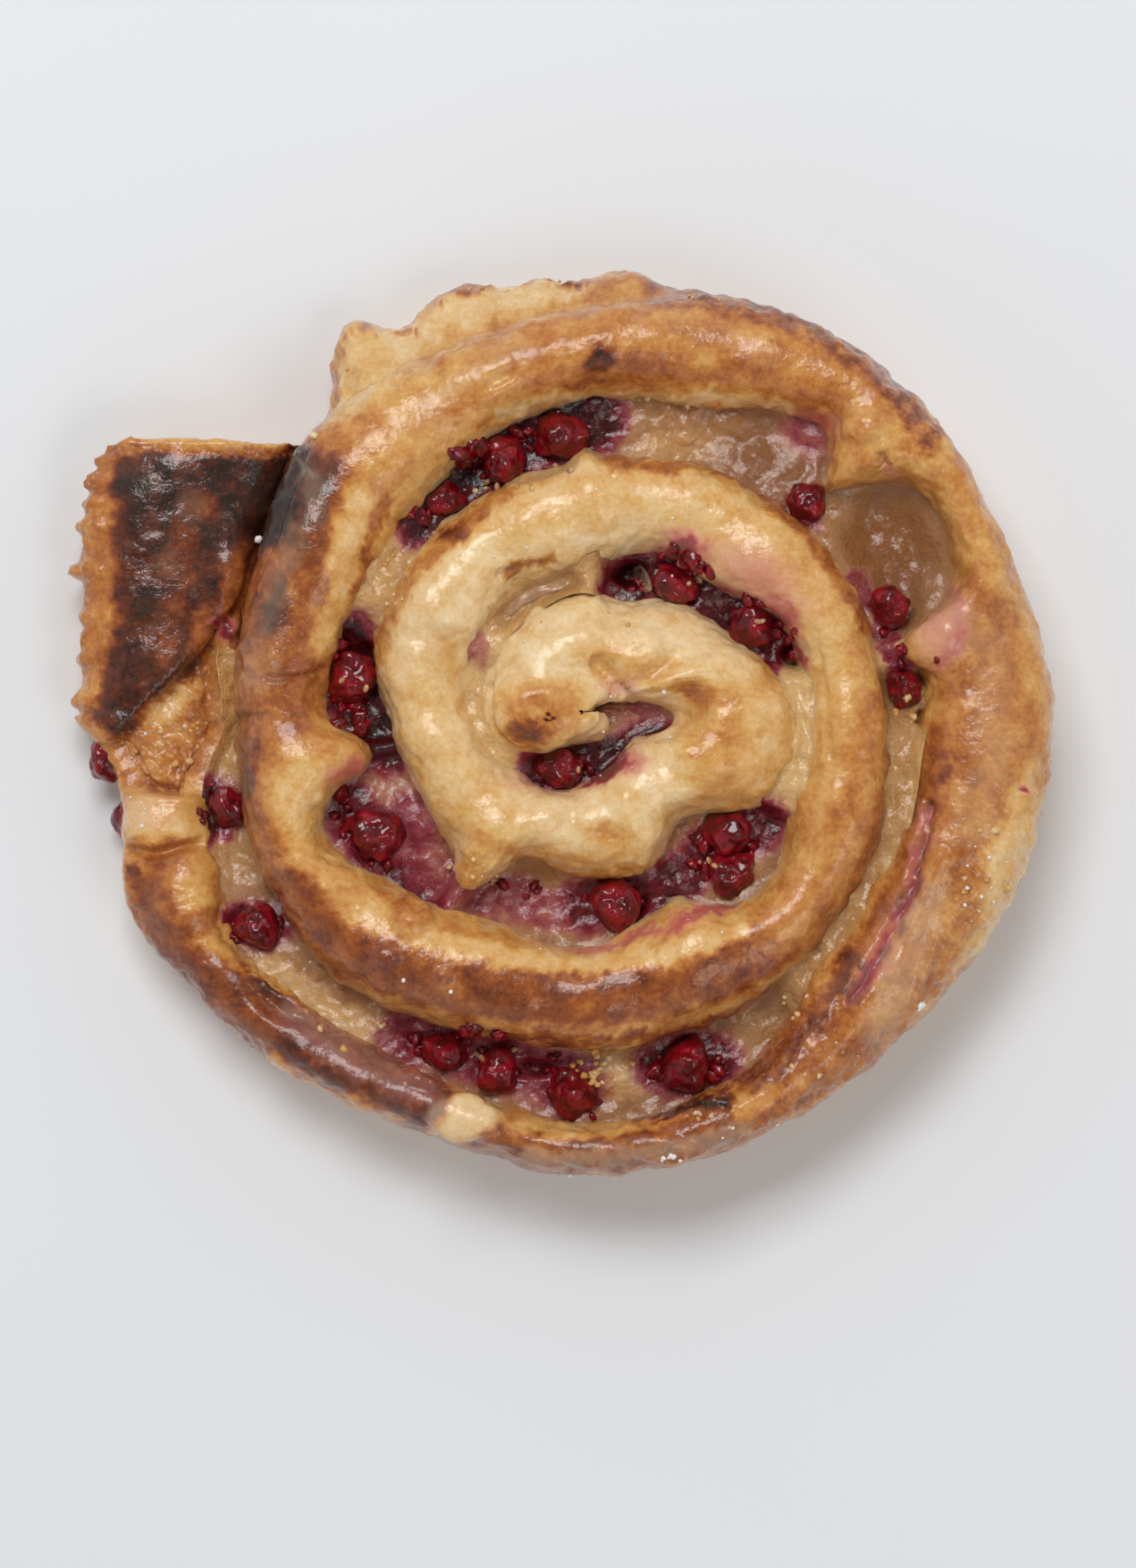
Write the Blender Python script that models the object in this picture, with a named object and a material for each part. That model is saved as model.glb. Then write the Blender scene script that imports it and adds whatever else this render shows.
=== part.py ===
"""A currant quark pastry swirl: one rolled strip of sweet dough, the quark filling rolled
up with it, and the red currants that show between the turns.

The swirl lies flat on z = 0 with its rolled edge up. A place on it is told by its turn,
counted clockwise from above with whole turns pointing along +X, and by its distance from
the eye of the coil. The strip starts as the knob in the middle and ends in a flap at -X
that runs straight along +Y. All sizes here are in mm.
"""

import math

import bmesh
import bpy
import numpy as np

MM = 0.001

# The coil.
FIRST_TURN = -1.0
LAST_TURN = 2.5
STEPS_PER_TURN = 72
COARSE_UNTIL = -0.1  # the tight core takes every second step
SEAM = 1.4  # least room between two turns, where a thin film of quark runs
CLEARANCE = 0.3  # room between one solid and the next

# Inner and outer side of the strip, one pair for each sixteenth of a turn.
KNOB_SIDES = (
    (0.3, 3.6), (0.3, 4.5), (0.3, 4.6), (0.3, 4.4),
    (0.3, 4.4), (0.3, 4.9), (0.3, 7.8), (0.3, 12.0),
)
CORE_SIDES = (
    (0.3, 13.7), (0.3, 15.0), (0.3, 16.0), (0.4, 16.9),
    (0.6, 18.3), (1.0, 17.5), (1.6, 21.2), (4.0, 25.0),
)
FIRST_SIDES = (
    (12.5, 30.6), (8.1, 29.6), (7.5, 20.6), (8.1, 23.7),
    (9.4, 22.5), (11.0, 21.6), (11.5, 25.6), (13.4, 25.3),
    (15.1, 27.1), (16.4, 31.2), (17.6, 32.2), (19.4, 33.7),
    (20.1, 35.5), (24.4, 38.4), (25.6, 40.4), (30.6, 42.0),
)
SECOND_SIDES = (
    (31.9, 43.1), (31.4, 45.5), (34.7, 46.2), (29.4, 47.0),
    (32.7, 47.0), (31.5, 47.5), (34.4, 50.5), (40.0, 49.4),
    (36.6, 48.7), (34.6, 50.0), (35.5, 54.5), (39.4, 55.0),
    (44.1, 56.8), (46.5, 62.5), (54.4, 64.6), (56.5, 64.2),
)
THIRD_SIDES = (
    (47.0, 65.9), (46.9, 65.6), (47.7, 63.7), (55.0, 64.1),
    (56.9, 64.4), (54.4, 62.6), (56.0, 65.9), (55.0, 67.8),
    (50.4, 69.6),
)
SIDES = KNOB_SIDES + CORE_SIDES + FIRST_SIDES + SECOND_SIDES + THIRD_SIDES

# Height of the crest, one value for each quarter turn.
CRESTS = (22, 26.5, 29.5, 28.5, 27.5, 27, 27, 27.5, 27, 27, 26.5, 26, 26, 24, 14.5)

# Bulges and hollows of the sides: turn, side (-1 inner, 1 outer), reach, spread in turns.
BULGES = (
    (0.345, 1, 5.6, 0.020),
    (0.753, 1, 2.0, 0.009),
    (1.172, -1, 1.2, 0.014),
    (1.470, -1, 8.8, 0.022),
    (1.882, -1, 8.8, 0.012),
    (1.967, -1, 7.5, 0.013),
    (2.406, -1, -2.0, 0.012),
    (2.474, 1, -6.6, 0.022),
)

# The lip of pale dough that spreads at the foot of the outer wall: turn, reach, spread.
LIPS = ((1.664, 7.6, 0.014), (1.703, 5.6, 0.018), (1.735, 2.8, 0.012), (1.765, 4.4, 0.014))

# The flap at the strip's outer end: height and outer side, at equal steps of its length.
FLAP_LENGTH = 36.5
FLAP_OUTER = (69.6, 69.4, 69.4, 70.4, 70.2, 67.4)
FLAP_CRESTS = (14.5, 14.8, 15.4, 15.6, 15.0, 13.5)
FLAP_STEPS = 9

# A section of the strip: share of the half width reached at each share of the height.
WALL_LEVELS = (0.0, 0.28, 0.60)
WALL_SHARES = (0.86, 0.97, 1.0)
LIP_SHARES = (1.0, 0.9, 0.0)
CREST_POWER = 2.3
CREST_STEPS = 8
SKIN_WAVES = ((0.45, 7.0, 0.0), (0.35, 17.0, 1.3), (0.25, 31.0, 2.1))  # size, rate, phase

# The quark filling, from just before the knob's start face, and its height at each quarter
# turn of the wall inside it. It narrows towards the eye behind the start face.
FILLING_TURNS = (-76 / 72, 1.5)
FILLING_TOPS = (19.5, 18.5, 18.5, 18.5, 18.0, 16.5, 17.0, 16.5, 17.5, 15.0, 12.0)
FILLING_FOOT = 0.6
FILLING_TAPER = 54.0  # mm per turn
FILLING_STEPS = 3

# Currants that show: turn of the wall inside them, distance from the eye, radius.
CURRANTS = (
    (-0.685, 7.9, 3.3),
    (-0.151, 24.0, 3.4),
    (-0.074, 27.2, 3.3),
    (0.108, 24.6, 3.4),
    (0.131, 30.6, 3.3),
    (0.219, 27.6, 3.9),
    (0.416, 33.0, 4.0),
    (0.527, 32.6, 4.0),
    (0.660, 35.1, 3.0),
    (0.702, 37.9, 3.6),
    (0.739, 39.6, 3.8),
    (0.880, 42.6, 2.9),
    (0.946, 45.6, 3.0),
    (0.986, 46.6, 2.9),
    (1.203, 51.0, 3.9),
    (1.254, 53.0, 3.4),
    (1.287, 51.2, 3.2),
    (1.311, 51.0, 3.1),
    (1.408, 54.2, 3.5),
    (1.460, 52.8, 3.4),
)
CURRANT_RISE = 0.2  # share of its radius that a currant's middle stands above the quark
CURRANT_RINGS = 7
CURRANT_SEGMENTS = 9

# Currants pushed out through the side at -X: turn, distance, height, radius.
SIDE_CURRANTS = ((2.465, 67.1, 4.6, 3.3), (2.486, 68.9, 7.0, 3.3))

# Colour, roughness.
DOUGH_LOOK = ((0.62, 0.33, 0.11), 0.35)
QUARK_LOOK = ((0.66, 0.42, 0.30), 0.25)
CURRANT_LOOK = ((0.30, 0.012, 0.02), 0.15)


def smooth(values, at):
    """Read a row of evenly spaced values at fractional places, along a Catmull-Rom curve."""
    values = np.asarray(values, float)
    low = min(max(int(math.floor(at)), 0), len(values) - 2)
    t = min(max(at - low, 0.0), 1.0)
    before, here = values[max(low - 1, 0)], values[low]
    after, beyond = values[low + 1], values[min(low + 2, len(values) - 1)]
    return float(0.5 * (
        2 * here
        + (after - before) * t
        + (2 * before - 5 * here + 4 * after - beyond) * t**2
        + (3 * here - before - 3 * after + beyond) * t**3
    ))


def bell(at, middle, spread):
    """A round bump of height 1."""
    return math.exp(-(((at - middle) / spread) ** 2))


def own_side(turn, side):
    """Where one side of the strip would lie if no other turn were beside it."""
    reach = smooth([pair[(side + 1) // 2] for pair in SIDES], (turn - FIRST_TURN) * 16)
    for middle, bulge_side, size, spread in BULGES:
        if bulge_side == side:
            reach += side * size * bell(turn, middle, spread)
    return reach


def inner_side(turn):
    """Distance from the eye to the strip's inner side, a seam clear of the turn within."""
    own = own_side(turn, -1)
    if turn - 1 < FIRST_TURN:
        return own
    return max(own, (own + own_side(turn - 1, 1) + SEAM) / 2)


def outer_side(turn):
    """Distance from the eye to the strip's outer side, a seam clear of the turn around it."""
    own = own_side(turn, 1)
    if turn + 1 > LAST_TURN:
        return own
    return min(own, (own + own_side(turn + 1, -1) - SEAM) / 2)


def crest_height(turn):
    """Height of the crest, with the small waves of the risen dough."""
    waves = sum(
        size * math.sin(2 * math.pi * rate * turn + phase) for size, rate, phase in SKIN_WAVES
    )
    return smooth(CRESTS, (turn - FIRST_TURN) * 4) + waves


def filling_top(turn):
    """Height of the filling outside one place of the strip."""
    return smooth(FILLING_TOPS, (turn - FIRST_TURN) * 4)


def strip_section(inner, outer, height, lip=0.0):
    """A cross-section of the strip as (distance, height) points: up the inner wall, over the
    crest and down the outer wall. The crest is the upper half of a superellipse.
    """
    middle, half = (inner + outer) / 2, (outer - inner) / 2
    up = [
        (middle - half * share, level * height)
        for level, share in zip(WALL_LEVELS, WALL_SHARES)
    ]
    shoulder = WALL_LEVELS[-1] * height
    over = []
    for step in range(1, CREST_STEPS):
        angle = math.pi * step / CREST_STEPS
        across = math.copysign(abs(math.cos(angle)) ** (2 / CREST_POWER), -math.cos(angle))
        rise = math.sin(angle) ** (2 / CREST_POWER)
        over.append((middle + half * across, shoulder + (height - shoulder) * rise))
    down = [
        (middle + half * share + lip * spread, level * height)
        for level, share, spread in zip(WALL_LEVELS, WALL_SHARES, LIP_SHARES)
    ]
    return up + over + down[::-1]


def wall(turn, side, level):
    """Distance from the eye to a side of the strip at one height above the table."""
    if turn < FIRST_TURN:
        return wall(FIRST_TURN, side, level) - FILLING_TAPER * (FIRST_TURN - turn)
    inner, outer = inner_side(turn), outer_side(turn)
    share = float(np.interp(level / crest_height(turn), WALL_LEVELS, WALL_SHARES))
    return (inner + outer) / 2 + side * (outer - inner) / 2 * share


def around_eye(turn, distance, height):
    """The point at a turn, a distance and a height, with the eye at x = y = 0."""
    angle = -2 * math.pi * turn
    return (distance * math.cos(angle), distance * math.sin(angle), height)


def flap_inner(along):
    """How far the flap's inner side lies from the eye's line, a seam clear of the second turn."""
    low, high = 1.5, 1.68
    for _ in range(30):
        turn = (low + high) / 2
        if outer_side(turn) * math.sin(2 * math.pi * (turn - 1.5)) < along:
            low = turn
        else:
            high = turn
    return outer_side(low) * math.cos(2 * math.pi * (low - 1.5)) + SEAM


def strip_sections():
    """Every cross-section of the strip, from the knob round the coil and along the flap."""
    sections = []
    for step in range(round((LAST_TURN - FIRST_TURN) * STEPS_PER_TURN) + 1):
        turn = FIRST_TURN + step / STEPS_PER_TURN
        if turn < COARSE_UNTIL and step % 2:
            continue
        lip = sum(reach * bell(turn, middle, spread) for middle, reach, spread in LIPS)
        section = strip_section(inner_side(turn), outer_side(turn), crest_height(turn), lip)
        sections.append([around_eye(turn, distance, z) for distance, z in section])
    for step in range(1, FLAP_STEPS + 1):
        along = FLAP_LENGTH * step / FLAP_STEPS
        share = (len(FLAP_OUTER) - 1) * step / FLAP_STEPS
        section = strip_section(
            flap_inner(along), smooth(FLAP_OUTER, share), smooth(FLAP_CRESTS, share)
        )
        sections.append([(-distance, along, z) for distance, z in section])
    return sections


def filling_sections():
    """Every cross-section of the filling, which takes up the room between two turns."""
    sections = []
    first, last = FILLING_TURNS
    for step in range(round((last - first) * STEPS_PER_TURN) + 1):
        turn = first + step / STEPS_PER_TURN
        top = filling_top(turn)
        low = min(crest_height(turn), crest_height(turn + 1))
        heights = [FILLING_FOOT, WALL_LEVELS[1] * low, top]
        near = [(wall(turn, 1, z) + CLEARANCE, z) for z in heights]
        far = [(wall(turn + 1, -1, z) - CLEARANCE, z) for z in heights]
        start, end = near[-1][0], far[-1][0]
        over = [
            (start + (end - start) * k / FILLING_STEPS, top + 0.5 * math.sin(40 * turn + k))
            for k in range(1, FILLING_STEPS)
        ]
        section = near + over + far[::-1]
        sections.append([around_eye(turn, distance, z) for distance, z in section])
    return sections


def currant_fits(turn, distance, z, along, across):
    """Whether a currant's widest ring stays clear of the walls on both sides of it."""
    for step in range(16):
        angle = 2 * math.pi * step / 16
        a, b = distance + across * math.cos(angle), along * math.sin(angle)
        there = turn - math.atan2(b, a) / (2 * math.pi)
        there = min(max(there, FILLING_TURNS[0]), FILLING_TURNS[1])
        reach = math.hypot(a, b)
        if reach < wall(there, 1, z) + CLEARANCE or reach > wall(there + 1, -1, z) - CLEARANCE:
            return False
    return True


def currant_places():
    """Middle and half axes of each currant: along the gap, across it and upright. A currant
    is squeezed by the walls until it fits between them.
    """
    places = []
    for turn, distance, radius in CURRANTS:
        z = filling_top(turn) + CURRANT_RISE * radius
        near = wall(turn, 1, z) + CLEARANCE
        far = wall(turn + 1, -1, z) - CLEARANCE
        along, across = radius, min(radius, (far - near) / 2)
        distance = min(max(distance, near + across), far - across)
        while not currant_fits(turn, distance, z, along, across) and across > 1.0:
            along, across = along * 0.98, across * 0.97
        places.append((turn, distance, z, (along, across, radius * 0.94)))
    for turn, distance, z, radius in SIDE_CURRANTS:
        places.append((turn, distance, z, (radius, radius, radius)))
    return places


def new_object(name, body, collection, material, parent):
    """Turn a bmesh into a smooth-shaded object."""
    mesh = bpy.data.meshes.new(name)
    body.to_mesh(mesh)
    body.free()
    mesh.materials.append(material)
    mesh.shade_smooth()
    made = bpy.data.objects.new(name, mesh)
    made.parent = parent
    collection.objects.link(made)
    return made


def loft(sections, shift):
    """A closed solid through cross-sections with equal numbers of points."""
    body = bmesh.new()
    rings = [
        [body.verts.new(((x + shift[0]) * MM, (y + shift[1]) * MM, z * MM)) for x, y, z in ring]
        for ring in sections
    ]
    for ring, following in zip(rings, rings[1:]):
        for k in range(len(ring)):
            after = (k + 1) % len(ring)
            body.faces.new((ring[k], ring[after], following[after], following[k]))
    body.faces.new(rings[0][::-1])
    body.faces.new(rings[-1])
    bmesh.ops.triangulate(body, faces=body.faces[:])
    bmesh.ops.recalc_face_normals(body, faces=body.faces[:])
    return body


def currant_body(place, shift, grow):
    """One currant as a squeezed sphere, its half axes enlarged by grow."""
    turn, distance, z, (along, across, upright) = place
    body = bmesh.new()
    bmesh.ops.create_uvsphere(
        body, u_segments=CURRANT_SEGMENTS, v_segments=CURRANT_RINGS, radius=1.0
    )
    angle = -2 * math.pi * turn
    cos, sin = math.cos(angle), math.sin(angle)
    x0, y0, _ = around_eye(turn, distance, 0)
    for vert in body.verts:
        a, b = vert.co.x * (across + grow), vert.co.y * (along + grow)
        vert.co = (
            (x0 + shift[0] + a * cos - b * sin) * MM,
            (y0 + shift[1] + a * sin + b * cos) * MM,
            (z + vert.co.z * (upright + grow)) * MM,
        )
    return body


def new_material(name, look):
    """A Principled material."""
    colour, roughness = look
    material = bpy.data.materials.new(name)
    material.use_nodes = True
    shader = material.node_tree.nodes["Principled BSDF"]
    shader.inputs["Base Color"].default_value = (*colour, 1.0)
    shader.inputs["Roughness"].default_value = roughness
    shader.inputs["Metallic"].default_value = 0.0
    material.diffuse_color = (*colour, 1.0)
    return material


def new_collection(name):
    """A collection in the scene."""
    collection = bpy.data.collections.new(name)
    bpy.context.scene.collection.children.link(collection)
    return collection


def main():
    """Build the pastry."""
    for found in list(bpy.data.objects):
        bpy.data.objects.remove(found)

    pastry = new_collection("currant_quark_pastry_swirl")
    cutters = new_collection("cutters")
    root = bpy.data.objects.new("swirl_root", None)
    pastry.objects.link(root)

    strip = strip_sections()
    places = currant_places()
    spots = [point[:2] for section in strip for point in section]
    for turn, distance, _, (radius, _, _) in places[len(CURRANTS):]:
        x, y, _ = around_eye(turn, distance + radius, 0)
        spots.append((x, y))
    spots = np.array(spots)
    shift = -(spots.min(axis=0) + spots.max(axis=0)) / 2

    dough = new_material("dough", DOUGH_LOOK)
    quark = new_material("filling", QUARK_LOOK)
    berry = new_material("currant", CURRANT_LOOK)

    new_object("dough", loft(strip, shift), pastry, dough, root)
    filling = new_object("filling", loft(filling_sections(), shift), pastry, quark, root)
    for number, place in enumerate(places, 1):
        name = f"currant_{number:02d}"
        new_object(name, currant_body(place, shift, 0.0), pastry, berry, root)
        if number > len(CURRANTS):
            continue
        cutter = new_object(
            f"hollow_{number:02d}", currant_body(place, shift, CLEARANCE), cutters, quark, None
        )
        cutter.hide_render = True
        cutter.display_type = "WIRE"
    cut = filling.modifiers.new("currant hollows", "BOOLEAN")
    cut.operation = "DIFFERENCE"
    cut.operand_type = "COLLECTION"
    cut.collection = cutters


main()
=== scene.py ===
"""The look of a currant quark pastry swirl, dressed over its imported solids.

Sizes in this file are in mm in the part's own frame, with the eye of the coil at EYE, and
are turned to metres where a mesh is made. Places on the browned side are also given in
pixels of the reference picture, which is seen from almost straight above: PictureView turns
a point of the pastry into such a pixel and back.
"""

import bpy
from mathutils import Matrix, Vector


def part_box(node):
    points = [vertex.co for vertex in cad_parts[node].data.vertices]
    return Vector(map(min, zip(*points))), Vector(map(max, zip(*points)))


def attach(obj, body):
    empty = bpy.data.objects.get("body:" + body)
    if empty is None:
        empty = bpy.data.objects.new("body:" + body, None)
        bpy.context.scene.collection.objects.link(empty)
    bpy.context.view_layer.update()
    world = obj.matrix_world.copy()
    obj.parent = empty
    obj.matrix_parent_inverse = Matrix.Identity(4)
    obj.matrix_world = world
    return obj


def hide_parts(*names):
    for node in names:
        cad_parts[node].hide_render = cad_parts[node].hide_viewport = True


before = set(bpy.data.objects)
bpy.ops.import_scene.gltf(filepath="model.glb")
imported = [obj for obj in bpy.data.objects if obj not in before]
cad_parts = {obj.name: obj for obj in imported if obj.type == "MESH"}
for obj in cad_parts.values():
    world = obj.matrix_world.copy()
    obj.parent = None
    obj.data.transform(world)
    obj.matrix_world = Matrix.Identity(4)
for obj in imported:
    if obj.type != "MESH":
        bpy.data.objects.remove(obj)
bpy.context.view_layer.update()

import logging
import math
from dataclasses import dataclass, field
from enum import Enum
from typing import Optional, Sequence

import bpy
import numpy as np
from mathutils import Vector

Array = np.ndarray
Place = tuple[float, float]
Faces = list[Array]  # rows of three or four vertex numbers
Stops = tuple[tuple[float, str], ...]  # places on a ramp and their sRGB colours
Socket = bpy.types.NodeSocket
Layer = tuple[float, float, int, int]  # strength, coarsest spacing in mm, seed and octaves

MM = 0.001
PIXELS = 8.0  # to a mm, at the height of the crests
EYE = np.array([3.0104, 1.5079])
log = logging.getLogger("swirl")


# Small helpers.


def linear(code: str, alpha: float = 1.0) -> tuple[float, float, float, float]:
    """Turn an sRGB hex colour into linear RGBA.

    Args:
        code: six hex digits.
        alpha: the fourth value.

    Returns:
        The linear colour.
    """
    parts = [int(code[k:k + 2], 16) / 255 for k in (0, 2, 4)]
    r, g, b = [c / 12.92 if c <= 0.04045 else ((c + 0.055) / 1.055) ** 2.4 for c in parts]
    return (r, g, b, alpha)


def lattice(points: Array, cell: float, seed: int) -> Array:
    """Smooth noise: random values on a cubic lattice, blended with a smooth step. The value
    of a corner is a hash of its three whole numbers.

    Args:
        points: N by 3 places in mm.
        cell: spacing of the lattice in mm.
        seed: picks the values.

    Returns:
        N values from -1 to 1.
    """
    p = points / cell + 1000.0
    low = np.floor(p).astype(np.int64)
    f = p - low
    f = f * f * (3 - 2 * f)
    total = np.zeros(len(points))
    for corner in np.ndindex(2, 2, 2):
        x, y, z = (low + corner).T
        h = (x * 73856093) ^ (y * 19349663) ^ (z * 83492791)
        h = (h ^ (seed * 97 + 13)) & 0x7FFFFFFF
        h = ((h ^ (h >> 15)) * 2246822519) & 0x7FFFFFFF
        h = ((h ^ (h >> 13)) * 3266489917) & 0x7FFFFFFF
        value = (h & 0xFFFF) / 32767.5 - 1.0
        share = np.where(corner, f, 1 - f)
        total += value * (share[:, 0] * share[:, 1] * share[:, 2])
    return total


def cloud(points: Array, cell: float, seed: int, octaves: int = 3) -> Array:
    """Layered smooth noise, each layer half as large and half as strong as the last.

    Args:
        points: N by 3 places in mm.
        cell: lattice spacing of the coarsest layer in mm.
        seed: picks the values.
        octaves: number of layers.

    Returns:
        N values, mostly from -1 to 1.
    """
    total = np.zeros(len(points))
    for k in range(octaves):
        total += lattice(points, cell / 2**k, seed + 31 * k) / 2**k
    return total / 1.6


def clouds(points: Array, layers: Sequence[Layer]) -> Array:
    """Add up several clouds, each times its strength."""
    return sum(strength * cloud(points, *rest) for strength, *rest in layers)


def smoothstep(low: float, high: float, value: Array) -> Array:
    """0 below low, 1 above high, and a smooth rise between them."""
    t = np.clip((value - low) / (high - low), 0, 1)
    return t * t * (3 - 2 * t)


def catmull(values: Sequence[float], at: Array) -> Array:
    """Read evenly spaced values at fractional places, along a Catmull-Rom curve.

    Args:
        values: the values.
        at: places, where 0 is the first value and 1 the second.

    Returns:
        One value for each place.
    """
    v = np.asarray(values, float)
    at = np.clip(np.asarray(at, float), 0, len(v) - 1)
    low = np.clip(np.floor(at).astype(int), 0, len(v) - 2)
    t = at - low
    before, here = v[np.maximum(low - 1, 0)], v[low]
    after, beyond = v[low + 1], v[np.minimum(low + 2, len(v) - 1)]
    return 0.5 * (
        2 * here
        + (after - before) * t
        + (2 * before - 5 * here + 4 * after - beyond) * t**2
        + (3 * here - before - 3 * after + beyond) * t**3
    )


def bell(at: Array, middle: float, spread: float) -> Array:
    """A round bump of height 1."""
    return np.exp(-(((at - middle) / spread) ** 2))


def unit(vectors: Array) -> Array:
    """Scale vectors, held along the last axis, to length 1."""
    return vectors / np.maximum(np.linalg.norm(vectors, axis=-1, keepdims=True), 1e-9)


def evenly(turns: Array, reach: Array, spacing: float) -> Array:
    """Pick turns at even steps of the way along a spiral.

    Args:
        turns: closely spaced turns.
        reach: the spiral's distance from the eye at each.
        spacing: the step in mm.

    Returns:
        The turns, read off the running sum of small arcs.
    """
    run = np.concatenate([[0], np.cumsum(2 * np.pi * reach[1:] * np.diff(turns))])
    return np.interp(np.linspace(0, run[-1], int(run[-1] / spacing)), run, turns)


def surface_normals(grid: Array) -> Array:
    """Unit normals of a grid of points whose last column joins the first.

    Args:
        grid: rows by columns by 3.

    Returns:
        Normals of the same shape: the step to the next row crossed with that to the next
        column.
    """
    du = np.gradient(grid, axis=0)
    dv = (np.roll(grid, -1, axis=1) - np.roll(grid, 1, axis=1)) / 2
    return unit(np.cross(du, dv))


def grid_faces(rows: int, columns: int, wrap: bool) -> Array:
    """Quads of a grid whose vertices run row by row.

    Args:
        rows: number of rows.
        columns: number of columns.
        wrap: whether the last column joins the first.

    Returns:
        M by 4 vertex numbers.
    """
    r = np.arange(rows - 1)[:, None] * columns
    c = np.arange(columns if wrap else columns - 1)[None, :]
    d = (c + 1) % columns
    quads = np.stack([r + c, r + columns + c, r + columns + d, r + d], axis=-1)
    return quads.reshape(-1, 4)


# Places in the reference picture.


@dataclass(frozen=True)
class PictureView:
    """The pinhole through which the pastry is seen in the reference picture."""

    width: int = 1271
    height: int = 1755
    lens: float = 131.3  # mm
    sensor: float = 36.0  # mm
    distance: float = 800.0  # mm from the pastry
    tilt: float = 1.0  # degrees that the view leans from straight down towards the front
    aim: tuple[float, float, float] = (1.2, -8.2, 17.0)

    def axes(self) -> tuple[Array, Array, Array, Array]:
        """Where the picture is seen from.

        Returns:
            The eye point in mm and the right, up and forward directions.
        """
        a = math.radians(self.tilt)
        forward = np.array([0.0, math.sin(a), -math.cos(a)])
        right = np.array([1.0, 0.0, 0.0])
        up = np.cross(right, forward)
        return np.array(self.aim) - forward * self.distance, right, up, forward

    def scale(self) -> float:
        """Focal length in pixels."""
        return self.lens / self.sensor * self.height

    def pixels(self, points: Array) -> tuple[Array, Array]:
        """Where points of the pastry lie in the picture.

        Args:
            points: N by 3 places in mm.

        Returns:
            Their pixel columns and rows.
        """
        eye, right, up, forward = self.axes()
        d = points - eye
        depth = d @ forward
        x = self.width / 2 + self.scale() * (d @ right) / depth
        y = self.height / 2 - self.scale() * (d @ up) / depth
        return x, y

    def points(self, x: Array, y: Array, z: Array) -> Array:
        """The points of the pastry seen at pixels, at heights in mm.

        Args:
            x: pixel columns.
            y: pixel rows.
            z: heights above the table.

        Returns:
            The points in mm, with one axis more than x.
        """
        eye, right, up, forward = self.axes()
        across = (np.asarray(x, float) - self.width / 2)[..., None] / self.scale()
        down = (np.asarray(y, float) - self.height / 2)[..., None] / self.scale()
        ray = forward + right * across - up * down
        return eye + ray * ((np.asarray(z, float)[..., None] - eye[2]) / ray[..., 2:])


VIEW = PictureView()


@dataclass(frozen=True)
class Patch:
    """A soft ellipse on the browned side, in pixels of the picture."""

    x: float
    y: float
    across: float
    down: float
    amount: float
    lean: float = 0.0  # degrees, anticlockwise
    edge: float = 0.5  # share of the radius over which it fades
    speckle: float = 0.0  # how far it is broken up into specks

    def weight(self, x: Array, y: Array) -> Array:
        """How much of the patch each pixel gets: 1 inside, fading past the edge.

        Args:
            x: pixel columns.
            y: pixel rows.

        Returns:
            The weights, from 0 to 1.
        """
        a = math.radians(self.lean)
        dx, dy = x - self.x, self.y - y
        u = (dx * math.cos(a) + dy * math.sin(a)) / self.across
        v = (-dx * math.sin(a) + dy * math.cos(a)) / self.down
        return 1 - smoothstep(1 - self.edge, 1 + self.edge, np.hypot(u, v))


@dataclass(frozen=True)
class Stroke:
    """A soft line through pixels of the picture."""

    points: tuple[Place, ...]
    width: float
    amount: float
    edge: float = 0.5
    speckle: float = 0.0

    def weight(self, x: Array, y: Array) -> Array:
        """1 on the line, fading at half its width: by the distance to its nearest stretch.

        Args:
            x: pixel columns.
            y: pixel rows.

        Returns:
            The weights, from 0 to 1.
        """
        nearest = np.full(len(x), 1e9)
        for (x0, y0), (x1, y1) in zip(self.points, self.points[1:]):
            dx, dy = x1 - x0, y1 - y0
            t = np.clip(((x - x0) * dx + (y - y0) * dy) / (dx * dx + dy * dy), 0, 1)
            nearest = np.minimum(nearest, np.hypot(x - x0 - t * dx, y - y0 - t * dy))
        half = self.width / 2
        return 1 - smoothstep(half * (1 - self.edge), half * (1 + self.edge), nearest)


@dataclass(frozen=True)
class Field:
    """A soft-edged convex field, its corners clockwise in pixels of the picture."""

    points: tuple[Place, ...]
    amount: float
    edge: float = 8.0  # pixels over which it fades
    speckle: float = 0.0

    def weight(self, x: Array, y: Array) -> Array:
        """1 inside: by the distance to the side that a place is furthest beyond.

        Args:
            x: pixel columns.
            y: pixel rows.

        Returns:
            The weights, from 0 to 1.
        """
        beyond = np.full(len(x), -1e9)
        for (x0, y0), (x1, y1) in zip(self.points, self.points[1:] + self.points[:1]):
            dx, dy = x1 - x0, y1 - y0
            side = ((x - x0) * dy - (y - y0) * dx) / math.hypot(dx, dy)
            beyond = np.maximum(beyond, side)
        return 1 - smoothstep(-self.edge, self.edge, beyond)


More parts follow.
